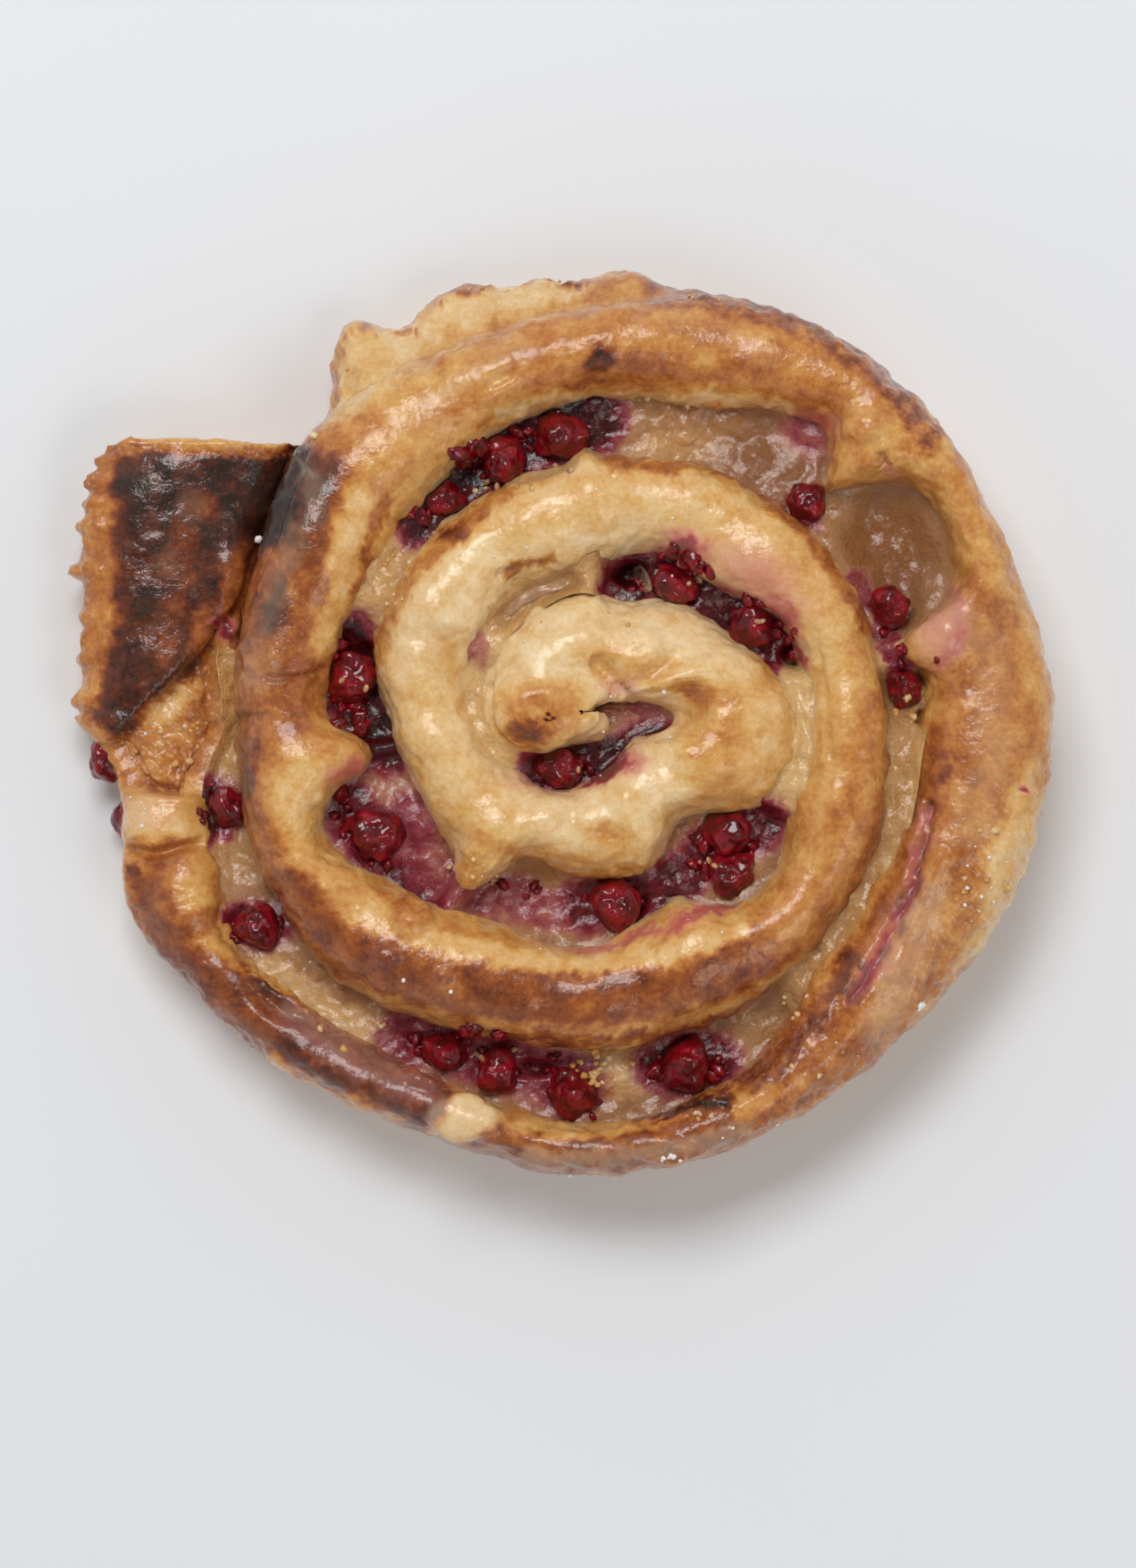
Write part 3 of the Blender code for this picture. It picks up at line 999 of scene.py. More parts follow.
TOAST = Chart({
    "cream first turn": Patch(660, 740, 245, 215, 0.15),
    "blush on the first turn": Patch(650, 560, 110, 30, 0.26, 8),
    "outer line of the first turn": Stroke(((692, 511), (730, 520), (789, 520), (844, 546), (903, 596),
        (945, 658), (972, 704)), 14, 0.56),
    "left shoulder of the first turn": Stroke(((562, 550), (516, 593), (463, 640), (432, 700),
        (418, 745)), 20, 0.52, speckle=0.3),
    "first turn's dark spot": Patch(508, 598, 16, 10, 0.72),
    "streak on the first turn": Stroke(((566, 640), (592, 630), (617, 628)), 13, 0.55),
    "warm dip at the left": Patch(500, 745, 26, 44, 0.28, 15),
    "peak of the first turn": Patch(692, 511, 18, 13, 0.55),
    "spot low on the first turn": Patch(682, 930, 22, 13, 0.42),
    "low edge of the first turn": Stroke(((540, 940), (600, 968), (640, 985), (700, 972), (740, 985)),
        14, 0.42),
    "fold right of the first turn": Stroke(((880, 960), (890, 880), (900, 820)), 10, 0.42),
    "knob": Patch(606, 800, 46, 38, 0.46),
    "knob's foot": Patch(586, 820, 22, 17, 0.72, -20),
    "knob's top spot": Patch(622, 782, 12, 9, 0.45),
    "knob dot": Patch(609, 805, 4, 3, 1.0),
    "core shade": Patch(700, 745, 60, 20, 0.34, -10),
    "core streak": Patch(784, 776, 28, 12, 0.7, -22),
    "core streak below": Stroke(((772, 848), (790, 834), (804, 824)), 12, 0.66),
    "core gold": Patch(812, 830, 52, 70, 0.38),
    "right core": Patch(860, 800, 26, 80, 0.3),
    "blush over the second turn's top": Stroke(((560, 395), (640, 362), (720, 352), (800, 365),
        (880, 400), (940, 440)), 66, 0.46),
    "golden slope above the gap": Stroke(((600, 425), (680, 418), (760, 416), (830, 422), (900, 438),
        (940, 452)), 26, 0.54),
    "cream edge above the gap": Stroke(((560, 462), (620, 450), (700, 446), (800, 448), (880, 458)), 15,
        0.22),
    "dark patch at the top": Patch(672, 402, 18, 13, 0.82, speckle=0.2),
    "brown patch at the top": Patch(726, 402, 36, 13, 0.66, 6, speckle=0.3),
    "specked outer edge at the top": Stroke(((740, 322), (800, 332), (880, 353), (945, 385), (990, 420),
        (1040, 490)), 34, 0.68, speckle=0.55),
    "dark rim at the top": Stroke(((751, 318), (806, 324), (850, 338)), 9, 0.86, speckle=0.3),
    "second turn at the upper right": Stroke(((985, 470), (1040, 560), (1085, 640)), 40, 0.4),
    "left top of the second turn": Stroke(((470, 450), (410, 520), (370, 600)), 56, 0.38),
    "left of the second turn": Patch(330, 690, 62, 190, 0.6, -14),
    "inner edge at the left": Stroke(((400, 560), (385, 640), (360, 720)), 34, 0.3),
    "flame at the inner edge": Stroke(((432, 560), (412, 615), (402, 660)), 12, 0.58),
    "left flank of the second turn": Stroke(((340, 510), (306, 600), (278, 700), (262, 800), (272, 900),
        (300, 975)), 44, 0.62, speckle=0.25),
    "dark left top": Patch(342, 562, 30, 58, 0.84, -12, speckle=0.25),
    "dark left corner": Patch(352, 530, 30, 18, 0.84, speckle=0.2),
    "dark left middle": Patch(313, 676, 18, 38, 0.9, -18, speckle=0.2),
    "freckles at the left": Patch(340, 670, 26, 40, 0.56, speckle=0.7),
    "dark left low": Patch(275, 862, 14, 40, 0.8, speckle=0.3),
    "brown left low": Patch(290, 790, 26, 26, 0.58, speckle=0.3),
    "orange left": Patch(308, 812, 18, 26, 0.52),
    "yellow at the left": Patch(338, 885, 34, 46, 0.3),
    "second turn at the lower left": Stroke(((345, 965), (400, 1020), (460, 1065)), 60, 0.34),
    "brown by the blister": Patch(428, 1066, 20, 16, 0.52, speckle=0.3),
    "slope below the second turn": Stroke(((318, 1004), (372, 1060), (440, 1084), (530, 1108),
        (650, 1116), (740, 1106), (820, 1082), (880, 1042), (930, 985)), 66, 0.67, 0.3, 0.15),
    "dark foot of the slope": Stroke(((560, 1158), (650, 1166), (740, 1162), (820, 1140), (880, 1105),
        (930, 1050), (965, 985)), 16, 0.7, speckle=0.3),
    "second turn's bottom crest": Stroke(((480, 1050), (560, 1072), (650, 1078), (740, 1070),
        (820, 1040)), 26, 0.28),
    "blister": Patch(461, 1021, 20, 20, 0.46),
    "lobe in the left gap": Patch(398, 846, 34, 34, 0.42),
    "blister's ring": Patch(452, 1012, 7, 9, 0.56),
    "second turn at the right": Stroke(((880, 1030), (940, 960), (985, 870), (995, 790)), 76, 0.47),
    "seam at the lower right": Stroke(((850, 1160), (900, 1090), (950, 1010), (985, 930), (1005, 830)),
        16, 0.6),
    "lobe at the top left": Field(((372, 380), (470, 352), (440, 440), (370, 470)), 0.24, 12),
    "lip at the top": Stroke(((455, 385), (500, 356), (560, 335), (640, 318)), 36, 0.2),
    "lip's rim": Stroke(((470, 338), (540, 318), (600, 308), (660, 312)), 8, 0.62, speckle=0.5),
    "brown by the lip": Patch(641, 321, 12, 6, 0.8),
    "lobe's rim": Stroke(((340, 495), (372, 450), (380, 385), (425, 355), (460, 368)), 8, 0.56),
    "third turn at the right": Stroke(((1090, 690), (1105, 800), (1098, 880), (1070, 980), (1020, 1080),
        (940, 1170)), 84, 0.52),
    "crumbly right flank": Field(((1108, 930), (1152, 860), (1170, 970), (1110, 1095), (1080, 1110)),
        0.27, 12),
    "fold in the third turn": Stroke(((1036, 905), (1032, 938), (1017, 996), (1006, 1022), (983, 1072),
        (956, 1114)), 13, 0.84),
    "inner side of the third turn": Stroke(((1050, 820), (1035, 900), (1010, 980), (970, 1050),
        (930, 1110)), 26, 0.58),
    "streaks on the third turn": Stroke(((1060, 850), (1048, 900), (1030, 960)), 18, 0.66, speckle=0.7),
    "third turn at the lower right": Patch(895, 1165, 70, 46, 0.58, 38),
    "speckled line at the lower right": Stroke(((835, 1212), (870, 1190), (925, 1130), (952, 1072)), 24,
        0.72, speckle=0.6),
    "ridge at the bottom": Stroke(((715, 1246), (760, 1240), (812, 1230)), 20, 0.92, speckle=0.3),
    "outer side at the lower right": Stroke(((840, 1262), (930, 1210), (1000, 1150)), 26, 0.56),
    "third turn at the bottom": Stroke(((480, 1254), (560, 1285), (640, 1296), (720, 1288),
        (810, 1262)), 46, 0.66, 0.3, 0.15),
    "cream at the bottom": Patch(640, 1262, 60, 12, 0.32),
    "cream drop at the bottom": Patch(521, 1250, 38, 26, 0.2, 12, 0.3),
    "dark stretch at the lower left": Stroke(((270, 1120), (330, 1160), (400, 1196), (470, 1228)), 64,
        0.8, 0.3, 0.1),
    "purple-black patch": Patch(305, 1122, 34, 18, 0.86, -42),
    "left of the third turn": Patch(186, 1024, 52, 76, 0.6, -30),
    "lower left of the third turn": Stroke(((180, 1060), (240, 1102), (300, 1140)), 46, 0.7),
    "golden band at the lower left": Stroke(((290, 1080), (350, 1112), (410, 1146), (464, 1180)), 26,
        0.36, 0.3),
    "brown edge at the left": Stroke(((150, 975), (165, 1020), (195, 1070), (240, 1120), (300, 1175)),
        22, 0.7, speckle=0.2),
    "yellow swelling": Patch(220, 992, 22, 32, 0.34, -20),
    "orange on the swelling": Patch(228, 998, 10, 18, 0.34),
    "pale end of the third turn": Patch(168, 914, 40, 30, 0.26),
    "line over the pale end": Stroke(((112, 858), (150, 872), (200, 880)), 12, 0.64, speckle=0.3),
    "foot of the pale end": Stroke(((140, 945), (170, 950), (215, 945)), 10, 0.5),
    "golden quark at the flap": Field(((105, 850), (160, 790), (255, 700), (262, 870), (150, 876)), 0.5,
        12),
    "yellow at the flap": Patch(190, 790, 36, 16, 0.26, 40),
    "flap's gold side": Field(((90, 500), (130, 500), (128, 620), (120, 730), (100, 815), (80, 800)),
        0.5, 8),
    "burnt flap": Field(((126, 506), (345, 506), (330, 560), (262, 668), (215, 742), (128, 742)), 0.84,
        9),
    "burnt foot of the flap": Field(((128, 700), (240, 700), (222, 745), (190, 775), (135, 826),
        (100, 806)), 0.84, 9),
    "black top corner": Patch(164, 545, 34, 26, 0.9, speckle=0.3),
    "black middle": Patch(286, 562, 34, 30, 0.93, speckle=0.3),
    "black by the crease": Stroke(((330, 505), (322, 560), (300, 600)), 24, 0.96),
    "brown stripe on the flap": Stroke(((215, 560), (205, 640), (180, 720)), 34, 0.73, speckle=0.3),
    "red-brown on the flap": Patch(232, 700, 14, 40, 0.66, -30),
    "flap's top rim": Stroke(((128, 498), (200, 502), (260, 506), (330, 508)), 9, 0.55, speckle=0.3),
    "orange tip": Patch(262, 650, 13, 36, 0.58, -8),
}, 9.0, 33)

# Berry juice, from 0, none, to 1, deep red.

JUICE = Chart({
    "in the eye": Patch(650, 862, 66, 18, 0.8, 8),
    "crease in the core": Patch(694, 768, 22, 12, 0.34),
    "left of the core": Stroke(((545, 712), (538, 735), (530, 750)), 16, 0.36),
    "on the first turn": Patch(850, 652, 56, 32, 0.36, -35, 0.9),
    "red on the first turn": Patch(876, 690, 14, 26, 0.55, 30),
    "first turn's inner edge": Patch(762, 618, 26, 18, 0.8, 0, 0.9),
    "first turn's low edge": Stroke(((800, 664), (850, 694), (894, 740)), 18, 0.6, 0.9),
    "second turn's bottom edge": Stroke(((600, 1048), (660, 1062), (720, 1048), (790, 1020), (840, 985),
        (865, 945)), 13, 0.42),
    "red at 5 o'clock": Stroke(((768, 1026), (810, 1012), (845, 985)), 20, 0.5),
    "fold at the upper right": Stroke(((988, 512), (995, 530), (1004, 545)), 8, 0.3),
    "right lump": Patch(1050, 705, 30, 34, 0.3),
    "right lump's edge": Stroke(((1060, 655), (1076, 680), (1070, 720), (1050, 748)), 12, 0.45),
    "pink at the gap's top": Patch(905, 478, 34, 14, 0.35),
    "crease in the third turn": Stroke(((1036, 905), (1032, 938), (1017, 996), (1006, 1022),
        (983, 1072), (956, 1114)), 15, 0.36, 0.9),
    "lower left": Stroke(((330, 1140), (400, 1185), (480, 1218)), 40, 0.16),
    "pale end": Patch(165, 905, 30, 24, 0.14),
    "left lobe in the gap": Patch(398, 868, 30, 18, 0.34),
    "speck at the right": Patch(1146, 883, 8, 4, 0.8, -20),
    "under the flap": Patch(250, 703, 10, 14, 0.85),
}, 11.0, 43)

# Milky sugar glaze and painted sheen, from 0, clear, to 1, white: drips, sheets and rims are set glaze,
# while the marks on the crests and the flap paint the sheen of light on wet glaze.

GLAZE_AND_SHEEN = Chart({
    # painted highlights: these two marks put whitish glints of light on the burnt flap
    "flap": Patch(188, 628, 14, 18, 0.2),
    "flap's middle": Patch(215, 565, 16, 18, 0.2),
    "dark left top": Patch(352, 560, 14, 30, 0.34),
    "left corner": Stroke(((338, 516), (345, 528), (350, 540)), 9, 0.55),
    "left streak": Stroke(((280, 735), (285, 760), (292, 772)), 9, 0.4),
    "drop at the bottom": Patch(521, 1250, 38, 26, 0.9, 12, 0.3),
    # painted sheen of light on the crest of the third turn
    "third turn at the right": Stroke(((1105, 720), (1115, 830), (1085, 930)), 40, 0.42, speckle=0.3),
    "sheet": Stroke(((1046, 1000), (1024, 1080), (985, 1160)), 34, 0.62),
    # partly a glossy glaze film, partly a painted highlight beside the fold
    "film by the crease": Stroke(((1018, 1020), (1002, 1060), (988, 1105)), 16, 0.7),
    "bottom rim": Stroke(((590, 1292), (650, 1300), (760, 1286), (830, 1264)), 20, 0.6, 0.4),
    # painted sheen of light on the third turn's lower left
    "lower left": Stroke(((330, 1135), (400, 1180), (440, 1200)), 26, 0.3),
    "left flank": Stroke(((270, 700), (258, 800), (276, 900)), 14, 0.25),
    "right lump": Patch(1050, 690, 34, 40, 0.7),
    # painted sheen of light on the crest of the first turn
    "first turn's left": Patch(470, 700, 34, 56, 0.6, -20, speckle=0.4),
    "first turn's low": Patch(640, 905, 44, 20, 0.5, speckle=0.3),
    "second turn's upper left": Stroke(((470, 470), (520, 420), (580, 392)), 26, 0.4, speckle=0.4),
    # painted sheen of light on the second turn's left crest
    "second turn at the left": Stroke(((330, 600), (300, 700), (292, 760)), 26, 0.4, speckle=0.5),
    # painted sheen of light along the top of the second turn
    "painted sheen at the top": Stroke(((720, 352), (800, 372), (860, 400)), 26, 0.25),
    "cream drop on the first turn": Patch(722, 866, 26, 14, 0.25),
    "pale end": Patch(150, 905, 26, 24, 0.35),
}, 10.0, 53)

# Relief of the browned side: heights in mm.

RELIEF = Chart({
    "drop beside the flap": Field(((100, 856), (160, 796), (252, 704), (258, 890), (100, 884)), -3.4,
        6),
    "crease at the flap": Stroke(((335, 505), (300, 600), (270, 680), (245, 705)), 14, -1.2),
    "orange tip": Patch(258, 650, 16, 40, 0.9, -8),
    "flap's gold side": Stroke(((104, 520), (104, 620), (98, 740)), 16, 0.5),
    "blister": Patch(461, 1021, 21, 21, 1.7),
    "blister's dip": Patch(464, 1022, 7, 7, -0.6),
    "blister below": Patch(432, 1070, 14, 11, 0.8),
    "second blister below": Patch(494, 1094, 10, 8, 0.7),
    "crack at the left": Stroke(((298, 757), (330, 759), (352, 752), (362, 750)), 6, -0.8),
    "knob": Patch(606, 798, 48, 38, 2.4),
    "ridge above the knob": Stroke(((600, 735), (660, 720), (720, 725)), 40, 0.8),
    "knob's foot": Patch(584, 826, 18, 12, -0.9, -20),
    "crease in the core": Stroke(((668, 742), (690, 766), (700, 790)), 16, -1.6),
    "behind the knob": Stroke(((548, 770), (556, 810), (576, 846)), 10, -1.0),
    "core dip": Patch(770, 790, 20, 26, -1.1),
    "peak of the first turn": Patch(690, 512, 14, 16, 1.3),
    "streak on the first turn": Stroke(((560, 643), (590, 632), (620, 630)), 8, -0.9),
    "dips at the left": Patch(500, 745, 22, 30, -0.7, 15),
    "dip beside them": Patch(486, 712, 30, 12, -0.5),
    "dimple low on the first turn": Patch(682, 933, 16, 10, -0.6),
    "fold in the third turn": Stroke(((1038, 900), (1033, 938), (1018, 996), (1007, 1022), (984, 1072),
        (952, 1120)), 9, -1.3),
    "roll beside the fold": Stroke(((1052, 960), (1030, 1020), (1000, 1090)), 18, 0.7),
    "edge of the sheet": Stroke(((1048, 1050), (1013, 1145), (983, 1183), (933, 1218)), 7, 0.7),
    "ridge at the bottom": Stroke(((715, 1250), (760, 1243), (812, 1233)), 12, 1.1),
    "ragged line inside the third turn": Stroke(((281, 1094), (320, 1122), (357, 1143), (426, 1174),
        (487, 1204)), 8, 1.0),
    "trough beside it": Stroke(((300, 1082), (360, 1122), (430, 1152), (480, 1184)), 20, -1.4),
    "knot": Patch(474, 1208, 20, 9, 1.2, -15),
    "drop at the bottom": Patch(521, 1250, 38, 26, 1.3, 12, 0.3),
    "drop on the bottom rim": Patch(742, 1286, 46, 14, 0.9, -8, 0.3),
    "dent at the lower left": Patch(303, 1122, 28, 13, -0.9, -42),
    "yellow swelling": Patch(210, 1000, 30, 44, 1.2, -20),
    "pit of the berry": Patch(287, 1034, 38, 27, -2.4, -10),
    "notch above the swelling": Stroke(((132, 948), (170, 956), (222, 944)), 11, -1.5),
    "line over the pale end": Stroke(((105, 862), (150, 876), (205, 884)), 9, -1.0),
    "lobe": Patch(418, 405, 30, 34, 1.0),
    "lump at the right": Patch(1045, 712, 32, 34, 1.3),
    "knuckle at the upper right": Patch(968, 478, 20, 16, 1.2),
    "top fold": Stroke(((986, 508), (994, 530), (1006, 548)), 8, -1.4),
    "dip above the gap": Patch(560, 424, 18, 6, -0.7, 25),
    "cleft in the seam": Stroke(((910, 700), (925, 780), (930, 850)), 6, -0.4),
})

# How coarse the surface is: mm of crumb and crystals.

COARSE = Chart({
    "crystals on the right flank": Field(((1075, 960), (1150, 860), (1160, 1000), (1090, 1130),
        (1030, 1150)), 0.6, 16),
    "specked edge at the top": Stroke(((700, 312), (800, 325), (880, 350), (945, 380), (1000, 425),
        (1060, 500)), 40, 0.3),
    "lip": Stroke(((455, 385), (500, 356), (560, 335), (640, 318)), 44, 0.8),
    "lobe": Field(((368, 375), (470, 350), (452, 440), (366, 475)), 0.7, 8),
    "lower right": Patch(885, 1170, 66, 44, 0.34, 38),
    "lower right rim": Stroke(((820, 1290), (930, 1225), (1010, 1160)), 26, 0.6),
    "ridge at the bottom": Stroke(((715, 1246), (760, 1240), (812, 1232)), 22, 0.7),
    "yellow strip": Stroke(((284, 1084), (360, 1132), (430, 1165), (495, 1205)), 30, 0.7),
    "drip of the first turn": Patch(530, 974, 36, 30, 0.7),
    "golden quark at the flap": Field(((110, 850), (252, 706), (258, 880), (130, 880)), 0.8, 10),
    "flap's gold side": Stroke(((100, 520), (94, 620), (92, 740), (92, 800)), 20, 0.6),
    "flap's top rim": Stroke(((125, 498), (220, 502), (330, 508)), 16, 0.6),
    "corner by the flap": Stroke(((335, 495), (350, 470), (370, 440)), 16, 0.8),
    "cream edge above the gap": Stroke(((480, 520), (560, 470), (640, 455), (740, 456), (860, 462)), 12,
        0.6),
    "low edge of the first turn": Stroke(((640, 985), (700, 968), (760, 975), (800, 960)), 20, 0.6),
    "pit of the berry": Patch(287, 1034, 48, 36, 0.4),
}, 8.0, 63)


class Slot(Enum):
    """The material slots."""

    DOUGH = "dough"
    FILLING = "filling"
    CURRANT = "currant"


def dress(piece: bpy.types.Object, finish: bpy.types.Material,
          stands_for: Sequence[str] = ()) -> bpy.types.Object:
    """Give a piece its finish, its body and the nodes that it stands for.

    Args:
        piece: the new object.
        finish: its material.
        stands_for: names of the solids that it replaces.

    Returns:
        The same object.
    """
    piece.data.materials.append(finish)
    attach(piece, "root")
    if stands_for:
        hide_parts(*stands_for)
    log.info("%s has %d faces", piece.name, len(piece.data.polygons))
    return piece


@dataclass
class DoughStrip:
    """The rolled strip of dough: one section carried along the coil and on into the flap."""

    spacing: float = 0.45  # mm between sections
    crest_points: int = 42
    wall_points: int = 13
    foot_points: int = 3
    crest_power: float = 2.3
    shoulder: float = 0.6  # share of the height where the crest starts
    split_turn: float = 1.2
    eye_height: float = 26.5
    core_start: Place = (5.0, 1.2)  # mm from the eye, where sections turn into the core
    core_slope: Place = (2.0, 14.0)  # mm from the eye, where its height falls to the crest's
    core_tip: float = 0.3  # mm that a section of the core reaches past the eye
    calm_reach: int = 8  # sections to each side over which the normals by the eye are averaged
    end_rings: tuple[Place, ...] = (  # share of the section left, mm beyond the flap's end
        (0.985, 0.25), (0.94, 0.45), (0.85, 0.55), (0.7, 0.6), (0.5, 0.64), (0.3, 0.68), (0.1, 0.72),
    )
    swells: tuple[Layer, ...] = ((0.5, 9.0, 3, 3), (0.2, 4.6, 7, 2), (0.05, 1.7, 11, 2))
    flank_swell: float = 0.7  # mm, upright folds of the open side
    flank_grain: float = 0.42  # mm, small lumps of the open side
    crag_height: float = 1.5  # mm
    crest_toast: float = 0.4  # browning, from 0, cream, to 1, black
    flank_toast: float = 0.44
    gap_toast: float = 0.2
    base_toast: float = 0.5
    coil: CoilShape = COIL

    def stations(self) -> tuple[Array, Array]:
        """Places of the sections, evenly spaced along the outer side.

        Returns:
            Turns along the coil, and distances along the flap in mm.
        """
        fine = np.linspace(self.coil.first_turn, self.coil.last_turn, 8000)
        turns = evenly(fine, np.maximum(self.coil.outer(fine), 9.0), self.spacing)
        count = int(self.coil.flap_length / self.spacing)
        return turns, np.linspace(0, self.coil.flap_length, count + 1)[1:]

    def section(self, inner: Array, outer: Array, crest: Array, lip: Array) -> tuple[Array, Array]:
        """Cross-sections: a crest shaped as a superellipse over two walls that lean in below.
        Where the inner side reaches the eye, the crest is half such a curve, highest there.

        Args:
            inner: distance of each section's inner side.
            outer: distance of its outer side.
            crest: its height.
            lip: how far its foot spreads outwards.

        Returns:
            Distances and heights, sections by points around.
        """
        middle, half = (inner + outer)[:, None] / 2, (outer - inner)[:, None] / 2
        h = crest[:, None]
        theta = np.linspace(np.pi, 0, self.crest_points)[None, :]
        cos, sin = np.cos(theta), np.sin(theta)
        power = 2 / self.crest_power
        top_d = middle + half * np.sign(cos) * np.abs(cos) ** power
        top_z = self.shoulder * h + (1 - self.shoulder) * h * np.abs(sin) ** power
        core = smoothstep(*self.core_start, inner)[:, None]
        core_d = (outer[:, None] + self.core_tip) * np.cos(theta / 2) ** power - self.core_tip
        core_h = self.eye_height + (h - self.eye_height) * smoothstep(*self.core_slope, core_d)
        core_z = (
            self.shoulder * core_h + (1 - self.shoulder) * core_h * np.sin(theta / 2) ** power
        )
        top_d, top_z = top_d + (core_d - top_d) * core, top_z + (core_z - top_z) * core
        level = np.linspace(self.shoulder, 0, self.wall_points + 1)[None, 1:]
        share = np.interp(level, self.coil.wall_levels, self.coil.wall_shares)
        lips = np.interp(level, self.coil.lip_levels, self.coil.lip_shares) * lip[:, None]
        down_d, up_d = middle + half * share + lips, middle - half * share
        wall_z = level * h
        foot = np.linspace(1, 0, self.foot_points + 2)[None, 1:-1]
        foot_d = up_d[:, -1:] + (down_d[:, -1:] - up_d[:, -1:]) * foot
        distance = np.concatenate([top_d, down_d, foot_d, up_d[:, ::-1]], axis=1)
        z = np.concatenate([top_z, wall_z, 0 * foot_d, wall_z[:, ::-1]], axis=1)
        return distance, z

    def flap(self, along: Array) -> Array:
        """The flap: the section carried straight on, its outer side toothed and its end
        closed by rings that shrink as they bulge out.

        Args:
            along: distances from the coil's end in mm.

        Returns:
            Points, stations by points around by 3.
        """
        coil = self.coil
        share = along / coil.flap_length * (len(coil.flap_outer) - 1)
        blend = smoothstep(0, 4, along)
        crest = coil.crest(np.array([coil.last_turn])) * (1 - blend)
        crest = crest + catmull(coil.flap_crests, share) * blend
        inner, outer = coil.flap_inner(along), catmull(coil.flap_outer, share)
        distance, z = self.section(inner, outer, crest, 0 * along)
        teeth = sum(size * bell(along, at, wide) for at, size, wide in coil.teeth)
        width = (distance - inner[:, None]) / (outer - inner)[:, None]
        distance = distance + teeth[:, None] * smoothstep(0.75, 1.0, width)
        y = EYE[1] + np.broadcast_to(along[:, None], distance.shape)
        grid = np.stack([EYE[0] - distance, y, z], axis=-1)
        middle = grid[-1].mean(axis=0)
        cap = [middle + (grid[-1] - middle) * left + (0, out, 0) for left, out in self.end_rings]
        return np.concatenate([grid, cap])

    def shaped_grid(self) -> tuple[Array, Array, int]:
        """The strip with its unevenness: points move along the surface's own direction by
        layered noise, and where they face up by the named relief too.

        Returns:
            Points, their normals, and the number of the section where the strip is split.
        """
        turns, along = self.stations()
        coil = self.coil
        distance, z = self.section(
            coil.inner(turns), coil.outer(turns), coil.crest(turns), coil.lip(turns)
        )
        grid = np.concatenate([coil.around(turns[:, None], distance, z), self.flap(along)])
        normals = self.calmed(grid, surface_normals(grid))
        flat, out = grid.reshape(-1, 3), normals.reshape(-1, 3)
        side = smoothstep(0.95, 0.45, np.abs(out[:, 2])) * smoothstep(2.0, 8.0, flat[:, 2])
        folds = self.flank_swell * cloud(flat * (1, 1, 0.5), 4.0, 15)
        rise = clouds(flat, self.swells)
        rise += side * (folds + self.flank_grain * cloud(flat, 1.7, 17, 2))
        rise += smoothstep(0.2, 0.6, out[:, 2]) * RELIEF.height(flat)
        crags = COARSE.over(flat, np.full(len(flat), 0.06))
        crumbs = 0.45 * lattice(flat, 1.1, 19) + 0.55 * np.abs(lattice(flat, 1.9, 23)) - 0.2
        rise += self.crag_height * smoothstep(-0.1, 0.3, out[:, 2]) * crags * crumbs
        rise *= smoothstep(-0.1, 1.2, flat[:, 2])
        moved = flat + out * rise[:, None]
        moved[:, 2] = np.maximum(moved[:, 2], 0.0)
        grid = moved.reshape(grid.shape)
        cut = int(np.searchsorted(turns, self.split_turn))
        return grid, self.calmed(grid, surface_normals(grid)), cut

    def calmed(self, grid: Array, normals: Array) -> Array:
        """Even out the normals close to the eye, where the sections crowd together.

        Args:
            grid: the points, stations by points around by 3.
            normals: their normals.

        Returns:
            The normals, near the eye averaged over the stations beside each.
        """
        reach = self.calm_reach
        summed = np.cumsum(np.pad(normals, ((reach + 1, reach), (0, 0), (0, 0)), "edge"), axis=0)
        mean = unit(summed[2 * reach + 1:] - summed[:-2 * reach - 1])
        away = np.hypot(grid[..., 0] - EYE[0], grid[..., 1] - EYE[1])
        upward = np.clip(grid[..., 2] - self.shoulder * self.eye_height, 0, 1)
        share = (smoothstep(6.0, 2.0, away) * upward)[..., None]
        blend = normals + (mean - normals) * share
        centre = (smoothstep(2.0, 0.5, away) * upward)[..., None]
        return unit(blend + (np.array([0.0, 0.0, 1.0]) - blend) * centre)

    def browning(self, flat: Array, out: Array) -> dict[str, Array]:
        """Painted values: by default crests brown, walls in a gap stay pale and the open
        flank is golden, darkest at its shoulder; the named marks go over what faces up.

        Args:
            flat: N by 3 places.
            out: their normals.

        Returns:
            The values by attribute name.
        """
        toast = self.crest_toast + 0.12 * cloud(flat, 7.0, 21)
        open_side = np.hypot(flat[:, 0] - EYE[0], flat[:, 1] - EYE[1]) > self.coil.open_beyond
        flank = smoothstep(0.55, 0.1, out[:, 2])
        open_toast = self.flank_toast - 0.1 * smoothstep(12, 3, flat[:, 2])
        shade = np.where(open_side, open_toast, self.gap_toast)
        toast += (shade + 0.1 * cloud(flat, 5.0, 25) - toast) * flank
        base = self.base_toast + 0.15 * cloud(flat, 8.0, 29)
        toast += (base - toast) * smoothstep(-0.2, -0.8, out[:, 2])
        seen = smoothstep(-0.2, 0.25, out[:, 2])
        marked = TOAST.over(flat, toast)
        milk = 0.05 + 0.06 * cloud(flat, 4.0, 57)
        return {
            "toast": np.clip(toast + (marked - toast) * seen, 0, 1),
            "juice": JUICE.over(flat, 0 * toast) * seen,
            # milky glaze, with painted sheen of light on the crests and the flap
            "glaze": GLAZE_AND_SHEEN.over(flat, milk) * seen,
            "coarse": COARSE.over(flat, 0 * toast) * seen,
        }

